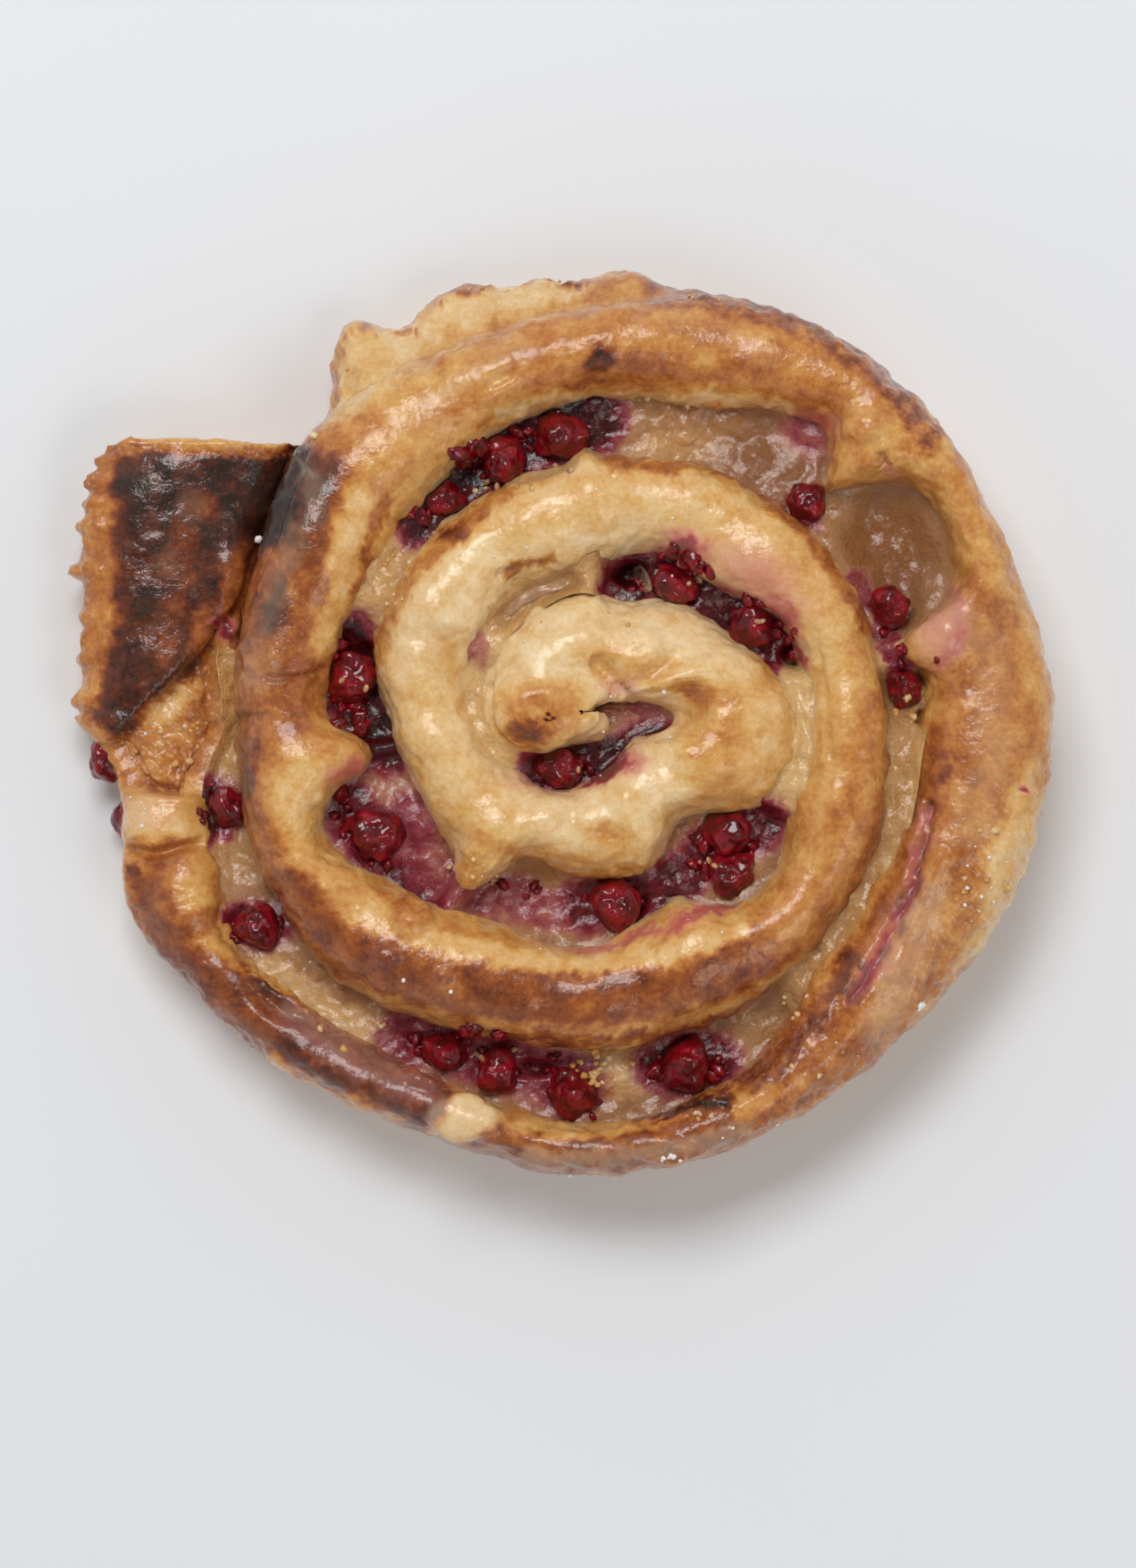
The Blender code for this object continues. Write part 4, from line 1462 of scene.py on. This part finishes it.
    def build(self, finish: bpy.types.Material) -> list[bpy.types.Object]:
        """Make the strip in two lengths, each a closed mesh, shaded as one.

        Args:
            finish: the dough's material.

        Returns:
            The two pieces.
        """
        grid, normals, cut = self.shaped_grid()
        values = self.browning(grid.reshape(-1, 3), normals.reshape(-1, 3))
        made = []
        for name, low, high in (
            ("dough_inner_turns", 0, cut + 1), ("dough_outer_turns", cut, len(grid))
        ):
            own = grid[low:high]
            points, faces = closed_tube(own)
            ends = unit(np.stack([own[0] - own[1], own[-1] - own[-2]]).mean(1))
            shading = np.concatenate([normals[low:high].reshape(-1, 3), ends])
            rows = {}
            for key, value in values.items():
                part = value.reshape(grid.shape[:2])[low:high]
                rows[key] = np.concatenate([part.ravel(), part[[0, -1]].mean(1)])
            piece = put_mesh(name, points, faces, shading, rows)
            made.append(dress(piece, finish, ("dough",)))
        return made


@dataclass
class QuarkFilling:
    """The band of quark between the turns: wet, lumpy and torn into hollows."""

    spacing: float = 0.6  # mm between sections
    top_points: int = 30
    wall_points: int = 4
    bed: float = 0.6  # mm, its underside
    tuck: float = 1.6  # mm that it reaches into the dough beside it
    narrow: float = 2.5  # mm, a gap this narrow is filled almost to the crest
    wide: float = 5.0
    below_crest: float = 5.2
    rim: float = 1.3  # mm that it climbs at the sides of an open gap
    valley: float = 1.0  # mm that a closed seam rises to its sides
    turns: Place = (-76 / 72, 1.53)  # from a little before the strip's own start
    lumps: tuple[Layer, ...] = ((0.9, 3.4, 61, 3), (0.55, 1.5, 65, 2))
    toast: float = 0.5  # browning of an open gap
    seam_toast: float = 0.16  # how much paler a closed seam is
    coil: CoilShape = COIL

    def bare_grid(self) -> tuple[Array, Array]:
        """The band between the outer side of one turn and the inner side of the next.

        Returns:
            Points, and at each how far the gap has closed to a seam, 0 to 1.
        """
        coil = self.coil
        fine = np.linspace(*self.turns, 6000)
        turns = evenly(fine, np.maximum(coil.wall(fine, 1, 15.0), 3.0), self.spacing)
        base = coil.filling_top(turns)
        near, far = coil.wall(turns, 1, base), coil.wall(turns + 1, -1, base)
        crest = np.minimum(coil.crest(np.maximum(turns, coil.first_turn)), coil.crest(turns + 1))
        closing = smoothstep(self.wide, self.narrow, far - near)
        top = base + (np.maximum(base, crest - self.below_crest) - base) * closing
        near, far = coil.wall(turns, 1, top), coil.wall(turns + 1, -1, top)
        far = np.maximum(far, near + 0.4) + self.tuck
        near = near - self.tuck
        u = np.linspace(0, 1, self.top_points)[None, :]
        climb = self.rim * np.exp(-u * 9) + self.rim * np.exp(-(1 - u) * 9)
        climb = climb + (self.valley * (2 * u - 1) ** 2 - climb) * closing[:, None]
        top_d = near[:, None] + (far - near)[:, None] * u
        top_z = top[:, None] + climb
        down = np.linspace(1, 0, self.wall_points + 1)[None, 1:]
        far_z, near_z = (self.bed + (z - self.bed) * down for z in (top_z[:, -1:], top_z[:, :1]))
        far_d, near_d = (np.broadcast_to(d[:, None], far_z.shape) for d in (far, near))
        distance = np.concatenate([top_d, far_d, near_d[:, ::-1]], axis=1)
        z = np.concatenate([top_z, far_z, near_z[:, ::-1]], axis=1)
        closed = np.broadcast_to(closing[:, None], distance.shape)
        return coil.around(turns[:, None], np.maximum(distance, 0.05), z), closed

    def build(self, finish: bpy.types.Material) -> bpy.types.Object:
        """Shape, paint and dress the quark: lumps by layered noise, hollows by named dents.

        Args:
            finish: the quark's material.

        Returns:
            The piece.
        """
        grid, closed = self.bare_grid()
        flat, closed = grid.reshape(-1, 3).copy(), closed.ravel()
        up = smoothstep(0.5, 0.9, surface_normals(grid).reshape(-1, 3)[:, 2])
        flat[:, 2] += up * (clouds(flat, self.lumps) + HOLLOWS.height(flat))
        flat[:, 2] = np.maximum(flat[:, 2], 0.5)
        toast = self.toast + 0.15 * cloud(flat, 5.0, 71) - self.seam_toast * closed
        juice = (0.06 + 0.08 * cloud(flat, 6.0, 77)) * (1 - closed)
        values = {
            "toast": QUARK_TOAST.over(flat, toast),
            "juice": QUARK_JUICE.over(flat, juice),
        }
        rows = {key: np.append(value, value[[0, -1]]) for key, value in values.items()}
        points, faces = closed_tube(flat.reshape(grid.shape))
        piece = put_mesh("quark_between_turns", points, faces, None, rows)
        return dress(piece, finish, ("filling",))


# The quark's hollows in mm, its browning and its juice, by places in the picture.

HOLLOWS = Chart({
    "left of the core": Patch(705, 642, 16, 12, -5.0),
    "below the right lump": Patch(1050, 756, 22, 9, -6.0),
    "small one below it": Patch(1035, 803, 10, 8, -5.0),
    "beside the first turn": Patch(890, 735, 14, 12, -5.0),
    "amber hollow": Patch(1000, 620, 44, 66, -2.5, 20),
    "groove above the core": Stroke(((566, 690), (590, 666), (636, 650)), 18, -1.0),
    "mauve lump": Patch(460, 930, 34, 40, 0.9, 20),
    "grey-brown hollow": Patch(608, 1004, 48, 30, -1.4),
    "crumb at the bottom": Patch(676, 1196, 40, 22, 1.4),
    "hole at the bottom": Patch(598, 1196, 17, 9, -3.0),
    "hole between the berries": Patch(700, 1014, 20, 10, -3.0),
})

QUARK_TOAST = Chart({
    "amber hollow": Patch(1000, 625, 50, 70, 0.6, 20),
    "cream at the bottom": Patch(690, 1200, 46, 26, 0.12),
    "seams": Stroke(((830, 1180), (900, 1090), (960, 1000), (1000, 900), (1010, 830)), 34, 0.4,
        speckle=0.3),
    "trough at the left": Patch(262, 960, 36, 34, 0.4),
    "golden band": Stroke(((300, 1086), (360, 1128), (440, 1168)), 36, 0.2),
    "left seam": Stroke(((440, 700), (470, 600), (500, 560)), 26, 0.34),
    "filled seam left of the core": Stroke(((552, 862), (536, 810), (533, 755), (550, 708)), 50, 0.16),
    "groove above the core": Stroke(((560, 694), (590, 666), (640, 648)), 26, 0.42),
    "seam right of the core": Stroke(((892, 760), (896, 810), (885, 870)), 50, 0.14),
    "beige in the top gap": Patch(740, 500, 90, 36, 0.48),
    "right of the top gap": Patch(870, 520, 60, 50, 0.64),
    "wet cream in the top gap": Patch(742, 503, 44, 18, 0.3, 8, speckle=0.3),
    "mauve in the left gap": Patch(460, 940, 50, 50, 0.7),
}, 8.0, 73)

QUARK_JUICE = Chart({
    "amber hollow": Patch(1000, 615, 60, 80, 0.0, 20),
    "top gap": Patch(780, 490, 120, 40, 0.03),
    "red at the top left": Stroke(((470, 570), (540, 515), (610, 480), (660, 470)), 80, 0.92),
    "pink at the top": Patch(910, 485, 40, 26, 0.42),
    "red beside the first turn": Patch(898, 578, 22, 22, 0.8),
    "pink streak": Stroke(((960, 650), (985, 700), (1012, 760)), 26, 0.5),
    "core": Stroke(((600, 865), (660, 850), (740, 830)), 46, 0.85),
    "core above": Patch(720, 790, 40, 20, 0.35),
    "inner gap": Stroke(((700, 655), (750, 640), (800, 670), (850, 705), (890, 740)), 60, 0.85),
    "left gap": Stroke(((390, 720), (400, 780), (430, 830)), 70, 0.92),
    "left gap below": Stroke(((390, 900), (420, 950), (480, 1000)), 60, 0.75),
    "purple middle": Patch(460, 930, 34, 50, 0.5, 20),
    "bottom gap": Stroke(((500, 985), (580, 1010), (660, 1030)), 50, 0.42),
    "berries below": Stroke(((660, 1010), (740, 1000), (800, 950), (850, 925)), 60, 0.75),
    "outer gap at the bottom": Stroke(((460, 1160), (560, 1185), (640, 1215)), 70, 0.56),
    "outer gap berries": Patch(770, 1190, 56, 34, 0.85),
    "filled seam left of the core": Stroke(((552, 862), (536, 810), (533, 755), (550, 708)), 50, 0.0),
    "seam right of the core": Stroke(((892, 760), (896, 810), (885, 870)), 50, 0.0),
    "pink left of the core": Patch(536, 722, 16, 24, 0.34),
    "left hollow berry": Patch(285, 1036, 42, 28, 0.7),
    "beside the flap": Patch(235, 905, 34, 34, 0.85),
}, 10.0, 79)


@dataclass
class Currants:
    """Baked red currants: each a ball squeezed to its place, dimpled, slack and wrinkled."""

    count: int = 22
    rings: int = 36
    segments: int = 48
    flatten: float = 0.94  # share of its radius that a currant keeps upright
    loose_beyond: float = 67.0  # mm from the eye: such currants are pressed into the side
    press: float = 1.4  # mm that they are pressed in
    squash: float = 0.7  # share of their width that is left
    grow: float = 0.15  # mm that a skin lies outside its solid before it shrinks
    slack: float = 0.26  # shares of the radius: how far the skin sags and wrinkles
    wrinkle: float = 0.10
    shrink: float = 0.12
    read_on: float = 3.3  # mm, radius of the ball on which the noise is read
    lumps: int = 12
    lump_width: Place = (0.26, 0.5)  # radians
    lump_height: float = 0.2  # share of its radius that the pulp bulges through the skin
    coil: CoilShape = COIL

    def place(self, number: int) -> tuple[Array, Array, float]:
        """Middle, half axes and turning of one currant, from its solid and the walls by it.

        Args:
            number: the currant's number, from 1.

        Returns:
            The middle, the half axes across, along and upright, and the angle.
        """
        low, high = (np.array(corner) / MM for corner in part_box(f"currant_{number:02d}"))
        middle, radius = (low + high) / 2, (high[2] - low[2]) / 2 / self.flatten
        dx, dy = middle[:2] - EYE
        angle, distance = math.atan2(dy, dx), math.hypot(dx, dy)
        across = radius
        for whole in range(-1, 3):
            turn = whole - angle / (2 * np.pi)
            if not -1.05 <= turn <= 1.5:
                continue
            near, far = (
                float(self.coil.wall(np.array([turn + k]), side, middle[2])[0])
                for k, side in ((0, 1), (1, -1))
            )
            if near - 1 < distance < far + 1:
                across = min(radius, (far - near) / 2 + 0.2)
        if distance + radius > self.loose_beyond:
            middle[:2] -= np.array([dx, dy]) / distance * self.press
            across *= self.squash
        return middle, np.array([across, radius, radius * self.flatten]), angle

    def burst(self, ball: Array, number: int) -> Array:
        """Pulp bulging through the skin: round bumps about random directions.

        Args:
            ball: N by 3 points of the unit ball.
            number: the currant's number.

        Returns:
            N shares of the radius.
        """
        rng = np.random.default_rng(400 + number)
        ways = unit(rng.normal(size=(self.lumps, 3)))
        wide = rng.uniform(*self.lump_width, self.lumps)
        angle = np.arccos(np.clip(ball @ ways.T, -1, 1))
        return self.lump_height * np.max(np.exp(-((angle / wide) ** 2)), axis=1)

    def build(self, finish: bpy.types.Material) -> bpy.types.Object:
        """Join all the currants in one piece, each dented by noise of its own.

        Args:
            finish: the currant's skin.

        Returns:
            The piece.
        """
        ball, faces = unit_ball(self.rings, self.segments)
        parts = []
        for number in range(1, self.count + 1):
            middle, axes, angle = self.place(number)
            dents = 1 + self.slack * cloud(ball * self.read_on, 3.6, 90 + number, 2)
            dents += self.burst(ball, number) - self.shrink
            dents -= self.wrinkle * np.abs(lattice(ball * self.read_on, 0.9, 290 + number))
            shape = ball * dents[:, None] * (axes + self.grow)
            cos, sin = math.cos(angle), math.sin(angle)
            turned = middle + shape @ np.array([[cos, sin, 0], [-sin, cos, 0], [0, 0, 1]])
            turned[:, 2] = np.maximum(turned[:, 2], 0.0)
            parts.append((turned, faces))
        piece = put_mesh("currants", *joined(parts))
        nodes = [f"currant_{k:02d}" for k in range(1, self.count + 1)]
        return dress(piece, finish, nodes)


def stacked(cells: Array, step: int) -> Array:
    """A map of cells stacked with its eight copies moved a step each way."""
    moves = (-step, 0, step)
    return np.stack([np.roll(cells, (i, j), (0, 1)) for i in moves for j in moves])


MAP_CELLS = (351, 255)  # rows and columns of the cells over the picture, each 5 pixels wide


@dataclass
class TopMap:
    """How high the pastry stands at each pixel of the picture, in square cells."""

    cell: float = 5.0
    seen: Array = field(default_factory=lambda: np.zeros(MAP_CELLS))
    heights: Array = field(default_factory=lambda: np.zeros(MAP_CELLS))
    inside: Array = field(default_factory=lambda: np.zeros(MAP_CELLS, bool))

    def add(self, piece: bpy.types.Object) -> None:
        """Raise the cells to a piece's vertices; an empty cell takes its highest neighbour.

        Args:
            piece: an object of the pastry.
        """
        flat = np.empty(len(piece.data.vertices) * 3)
        piece.data.vertices.foreach_get("co", flat)
        points = flat.reshape(-1, 3) / MM
        x, y = VIEW.pixels(points)
        row = np.clip((y / self.cell).astype(int), 0, MAP_CELLS[0] - 1)
        column = np.clip((x / self.cell).astype(int), 0, MAP_CELLS[1] - 1)
        np.maximum.at(self.seen, (row, column), points[:, 2])
        self.heights = np.where(self.seen > 0, self.seen, stacked(self.seen, 1).max(0))
        self.inside = stacked(self.heights > 0, 2).all(0)

    def holds(self, x: Array, y: Array) -> Array:
        """Whether each pixel lies on the pastry, two cells clear of its outline."""
        return self.inside[(y / self.cell).astype(int), (x / self.cell).astype(int)]

    def at(self, x: Array, y: Array) -> Array:
        """Heights at pixels, blended between the four cells around each.

        Args:
            x: pixel columns.
            y: pixel rows.

        Returns:
            Heights above the table in mm.
        """
        u = np.clip(np.asarray(x) / self.cell - 0.5, 0, MAP_CELLS[1] - 2)
        v = np.clip(np.asarray(y) / self.cell - 0.5, 0, MAP_CELLS[0] - 2)
        i, j = v.astype(int), u.astype(int)
        p, q = v - i, u - j
        h = self.heights
        upper = h[i, j] * (1 - q) + h[i, j + 1] * q
        lower = h[i + 1, j] * (1 - q) + h[i + 1, j + 1] * q
        return upper * (1 - p) + lower * p


@dataclass(frozen=True)
class Film:
    """A run of set glaze along a line of pixels of the picture."""

    points: tuple[Place, ...]
    width: float  # mm
    thick: float  # mm


# Runs of the sugar glaze.

FILMS: dict[str, Film] = {
    "drip in the inner gap": Film(((712, 634), (718, 648), (727, 662)), 2.0, 1.1),
    "wet groove": Film(((568, 688), (588, 668), (632, 654)), 1.6, 0.5),
}


@dataclass
class GlazeFilms:
    """Set glaze lying on the pastry: bands that follow the surface, thick in the middle and
    thin at their ragged edges.
    """

    top: TopMap
    step: float = 0.5  # mm between rows
    across: int = 9
    ragged: float = 0.35  # share of its half width by which an edge wanders
    under: float = 0.5  # mm that its underside lies within the pastry
    edge: float = 0.12  # mm that its edges lie within the pastry

    def band(self, film: Film, seed: int) -> tuple[Array, Faces]:
        """One closed band: its top a half ellipse over the surface, its underside within.

        Args:
            film: its course, width and thickness.
            seed: picks its raggedness.

        Returns:
            Points in mm and faces.
        """
        course = np.array(film.points)
        length = np.hypot(*np.diff(course, axis=0).T).sum() / PIXELS
        at = np.linspace(0, len(course) - 1, max(int(length / self.step), 5))
        x, y = catmull(course[:, 0], at), catmull(course[:, 1], at)
        side = unit(np.stack([-np.gradient(y), np.gradient(x)], axis=1))
        end = np.clip(np.sin(np.pi * np.linspace(0.03, 0.97, len(at))), 0, 1) ** 0.35
        rows = np.stack([x, y, np.full(len(at), 3.0 * seed)], axis=1) / PIXELS
        half = film.width / 2 * PIXELS * end
        left, right = (half * (1 + self.ragged * cloud(rows, 1.8, k)) for k in (seed, seed + 3))
        u = np.linspace(-1, 1, self.across)[None, :]
        reach = np.where(u < 0, left[:, None], right[:, None]) * u
        px, py = x[:, None] + side[:, :1] * reach, y[:, None] + side[:, 1:] * reach
        z = self.top.at(px, py)
        upper = z + film.thick * (1 - u * u) ** 1.6 * end[:, None] - self.edge
        lower = VIEW.points(px, py, z - self.under)
        return closed_tube(np.concatenate([VIEW.points(px, py, upper), lower[:, -2:0:-1]], axis=1))

    def build(self, finish: bpy.types.Material) -> bpy.types.Object:
        """Join all the films in one piece."""
        bands = [self.band(film, 500 + 7 * k) for k, film in enumerate(FILMS.values())]
        return dress(put_mesh("glaze_films", *joined(bands)), finish)


# Where small bits lie: the middle of an ellipse in the picture, its half axes in pixels, how
# many bits, and their smallest and largest half size in mm. Pulp lies round burst currants.

Row = tuple[float, float, float, float, int, float, float]

PULP: tuple[Row, ...] = (
    (470, 575, 12, 12, 4, 0.7, 1.7), (545, 515, 36, 30, 16, 0.7, 2.0),
    (612, 490, 40, 22, 14, 0.7, 1.9), (900, 572, 16, 16, 5, 0.6, 1.6),
    (764, 632, 34, 26, 17, 0.7, 2.0), (712, 650, 20, 18, 6, 0.6, 1.7),
    (840, 694, 34, 24, 13, 0.7, 1.9), (886, 716, 10, 20, 4, 0.6, 1.5),
    (636, 856, 44, 17, 14, 0.7, 1.8), (390, 770, 26, 56, 22, 0.7, 2.0),
    (398, 912, 30, 34, 13, 0.7, 1.9), (425, 958, 16, 20, 5, 0.7, 1.8),
    (570, 1000, 34, 14, 5, 0.6, 1.5), (694, 1006, 40, 24, 16, 0.7, 1.9),
    (806, 950, 36, 36, 20, 0.7, 2.0), (520, 1172, 56, 24, 22, 0.6, 1.8),
    (596, 1192, 40, 18, 9, 0.6, 1.6), (652, 1244, 30, 14, 9, 0.6, 1.6),
    (772, 1190, 38, 26, 20, 0.7, 1.9), (284, 1036, 32, 20, 12, 0.6, 1.8),
    (238, 902, 20, 26, 9, 0.6, 1.8), (108, 858, 14, 16, 4, 0.6, 1.6),
    (128, 906, 8, 20, 4, 0.6, 1.5), (1000, 735, 16, 14, 4, 0.5, 1.4),
    (1052, 742, 14, 8, 2, 0.5, 1.3), (985, 690, 12, 26, 4, 0.5, 1.4),
)

CRUMBS: tuple[Row, ...] = (
    (95, 870, 6, 6, 2, 0.35, 0.85), (343, 484, 12, 9, 6, 0.3, 0.85),
    (380, 400, 12, 30, 6, 0.25, 0.75), (430, 356, 26, 6, 4, 0.25, 0.7),
    (480, 345, 16, 10, 5, 0.25, 0.7), (540, 325, 30, 6, 6, 0.25, 0.75),
    (610, 312, 28, 6, 6, 0.25, 0.75), (688, 302, 8, 5, 2, 0.3, 0.75),
    (820, 330, 70, 12, 9, 0.2, 0.6), (724, 449, 12, 5, 3, 0.2, 0.6),
    (764, 456, 12, 5, 3, 0.2, 0.55), (444, 640, 16, 50, 6, 0.25, 0.75),
    (560, 545, 40, 10, 6, 0.2, 0.6), (1012, 820, 14, 44, 5, 0.3, 0.8),
    (900, 1110, 36, 40, 6, 0.2, 0.65),
    (1100, 1000, 34, 80, 16, 0.25, 0.7), (940, 1200, 60, 34, 9, 0.2, 0.65),
    (676, 1196, 40, 20, 30, 0.3, 1.0), (390, 1140, 60, 36, 6, 0.2, 0.7),
    (180, 830, 46, 34, 12, 0.3, 0.9), (530, 975, 28, 22, 9, 0.25, 0.75),
    (86, 600, 6, 70, 8, 0.25, 0.65), (620, 700, 120, 30, 6, 0.15, 0.45),
    (800, 1250, 60, 16, 6, 0.2, 0.65),
)

SUGAR: tuple[Row, ...] = (
    (289, 606, 2, 3, 1, 0.8, 0.9), (1030, 1127, 5, 5, 3, 0.4, 0.7),
    (753, 1298, 14, 5, 8, 0.3, 0.6), (638, 1316, 4, 2, 2, 0.3, 0.5),
    (1145, 655, 4, 8, 3, 0.3, 0.5), (362, 445, 4, 4, 2, 0.3, 0.5),
    (505, 1108, 3, 3, 1, 0.45, 0.5), (452, 1097, 3, 3, 1, 0.4, 0.5),
    (742, 775, 2, 2, 1, 0.45, 0.5), (1090, 1000, 30, 70, 12, 0.2, 0.45),
    (660, 780, 330, 330, 22, 0.14, 0.3), (860, 1270, 60, 20, 12, 0.2, 0.4),
    (150, 905, 16, 26, 6, 0.2, 0.4), (190, 815, 40, 30, 4, 0.2, 0.4),
)

SEEDS: tuple[Row, ...] = (
    (486, 597, 2, 2, 1, 0.7, 0.75), (620, 522, 2, 2, 1, 0.65, 0.7),
    (637, 525, 2, 2, 1, 0.65, 0.7), (548, 538, 20, 8, 2, 0.6, 0.7),
    (768, 640, 20, 14, 3, 0.6, 0.7), (842, 700, 20, 12, 2, 0.6, 0.7),
    (395, 770, 16, 40, 3, 0.6, 0.7), (800, 960, 20, 20, 3, 0.6, 0.7),
    (540, 1180, 40, 12, 3, 0.6, 0.7), (640, 856, 24, 8, 1, 0.6, 0.7),
)


@dataclass
class LooseBits:
    """Small bits that lie on the pastry: rough little balls sunk a little where they lie."""

    name: str
    spills: tuple[Row, ...]
    slot: Slot
    top: TopMap
    under: Optional[TopMap] = None  # bits are kept only where this map lies no higher
    margin: float = 0.3  # mm, allowed to it
    stretch: tuple[float, float, float] = (1.0, 0.85, 0.7)
    rough: float = 0.16
    rings: int = 5
    segments: int = 8
    sink: float = 0.1  # share of its size that a bit's middle lies under the surface
    seed: int = 1
    small_share: float = 1.6  # a power: the higher it is, the more of them are small

    def build(self, finish: bpy.types.Material, toast: Place = (0.2, 0.55)) -> bpy.types.Object:
        """Scatter the bits in their ellipses, evenly by area, and join them in one piece.

        Args:
            finish: their material.
            toast: the range of their browning.

        Returns:
            The piece.
        """
        rng = np.random.default_rng(self.seed)
        rows = np.array(self.spills)
        x, y, across, down, _, small, large = rows.repeat(rows[:, 4].astype(int), axis=0).T
        way = rng.uniform(0, 2 * np.pi, len(x))
        out = np.sqrt(rng.uniform(0, 1, len(x)))
        x, y = x + across * out * np.cos(way), y + down * out * np.sin(way)
        size = small + (large - small) * rng.uniform(0, 1, len(x)) ** self.small_share
        z = self.top.at(x, y)
        keep = self.top.holds(x, y)
        if self.under is not None:
            keep &= self.under.at(x, y) < z + self.margin
        x, y, z, size = x[keep], y[keep], z[keep], size[keep]
        middles = VIEW.points(x, y, z - self.sink * size)
        ball, faces = unit_ball(self.rings, self.segments)
        copies = many(ball, middles, size[:, None] * np.array(self.stretch), self.rough, self.seed)
        each = rng.uniform(*toast, len(x)).repeat(len(ball))
        points, faces = joined([(copy, faces) for copy in copies])
        piece = put_mesh(self.name, points, faces, None, {"toast": each})
        return dress(piece, finish)


@dataclass
class Studio:
    """The floor, the soft lights and the camera."""

    floor_half: float = 3.0  # m
    floor_drop: float = 0.05  # mm that the floor lies under the pastry
    room: float = 0.76  # brightness of the walls
    walls: Stops = ((0.0, "e8eaee"), (0.5, "e8eaee"), (0.8, "94979c"), (0.94, "303236"))
    lights: tuple[tuple[str, tuple[float, float, float], Place, float, str], ...] = (
        ("window", (-0.16, 0.47, 1.00), (0.52, 0.36), 6.6, "ffffff"),
        ("lamp", (0.45, -0.45, 1.00), (0.50, 0.40), 2.2, "fffaf2"),
    )
    view: PictureView = VIEW

    def aim(self, made: bpy.types.Object, place: Vector, forward: Vector) -> None:
        """Put a light or camera in its place, looking forward, and in the scene.

        Args:
            made: the object.
            place: where it stands in m.
            forward: the direction that it looks in.
        """
        made.location = place
        made.rotation_euler = forward.to_track_quat("-Z", "Y").to_euler()
        bpy.context.scene.collection.objects.link(made)

    def floor(self, finish: bpy.types.Material) -> None:
        """Lay a flat square under the pastry, two by two faces.

        Args:
            finish: its material.
        """
        side = np.linspace(-self.floor_half, self.floor_half, 3) / MM
        x, y = np.meshgrid(side, side, indexing="ij")
        grid = np.stack([x, y, np.full(x.shape, -self.floor_drop)], axis=-1)
        floor = put_mesh("floor", grid.reshape(-1, 3), [grid_faces(3, 3, False)])
        floor.data.materials.append(finish)

    def soft_light(self, name: str, place: tuple[float, float, float], size: Place,
                   power: float, colour: str) -> None:
        """Hang a rectangular light that looks at the middle of the pastry.

        Args:
            name: its name.
            place: where it hangs, in m.
            size: its width and height in m.
            power: watts.
            colour: sRGB hex.
        """
        lamp = bpy.data.lights.new(name, "AREA")
        lamp.shape = "RECTANGLE"
        lamp.size, lamp.size_y = size
        lamp.energy = power
        lamp.color = linear(colour)[:3]
        target = Vector((0, 0, 20 * MM))
        self.aim(bpy.data.objects.new(name, lamp), Vector(place), target - Vector(place))

    def surroundings(self) -> None:
        """A pale room around the pastry, darker straight above: wet places that face up
        mirror that dark part and keep their own colour.
        """
        world = bpy.data.worlds.new("room")
        world.use_nodes = True
        tree = world.node_tree
        towards = add_node(tree, "TexCoord", {}).outputs["Generated"]
        height = add_node(tree, "SeparateXYZ", {0: towards}).outputs["Z"]
        shade = ramp(tree, height, self.walls)
        fill(tree, tree.nodes["Background"], {"Color": shade, "Strength": self.room})
        bpy.context.scene.world = world

    def camera(self) -> None:
        """The camera of the reference picture."""
        eye, _, _, forward = self.view.axes()
        lens = bpy.data.cameras.new("camera")
        lens.lens, lens.sensor_width, lens.sensor_fit = self.view.lens, self.view.sensor, "AUTO"
        lens.clip_start, lens.clip_end = 0.01, 20.0
        made = bpy.data.objects.new("camera", lens)
        self.aim(made, Vector(eye * MM), Vector(forward))
        bpy.context.scene.camera = made

    def build(self) -> None:
        """Set up the whole studio."""
        self.camera()
        self.floor(PALE_FLOOR.make())
        self.surroundings()
        for light in self.lights:
            self.soft_light(*light)
        bpy.context.scene.view_settings.view_transform = "Standard"


def main() -> None:
    """Build the studio and every piece of the pastry, in order, and log each."""
    logging.basicConfig(level=logging.INFO, format="%(name)s: %(message)s")
    Studio().build()
    dough, skin = BakedDough().make(), CurrantSkin().make()
    strip = DoughStrip().build(dough)
    quark = QuarkFilling().build(QuarkCream().make())
    currants = Currants().build(skin)
    top, crust = TopMap(), TopMap()
    for piece in strip:
        top.add(piece)
        crust.add(piece)
    top.add(quark)
    LooseBits(
        "berry_pulp", PULP, Slot.CURRANT, top, crust, stretch=(1.0, 0.8, 0.6), rough=0.3,
        rings=8, segments=12, sink=0.25, seed=11,
    ).build(skin)
    top.add(currants)
    LooseBits(
        "currant_seeds", SEEDS, Slot.CURRANT, top, stretch=(1.0, 0.62, 0.55), rough=0.03, seed=12
    ).build(CURRANT_SEED.make())
    LooseBits("crumbs", CRUMBS, Slot.DOUGH, top, rough=0.3, sink=0.3, seed=13).build(
        dough, (0.12, 0.42)
    )
    LooseBits(
        "sugar_grains", SUGAR, Slot.DOUGH, top, stretch=(1.0, 0.8, 0.75), rough=0.12, rings=2,
        segments=5, sink=-0.3, seed=14,
    ).build(SUGAR_GRAIN.make())
    GlazeFilms(top).build(SugarGlaze().make())


if __name__ == "__main__":
    main()
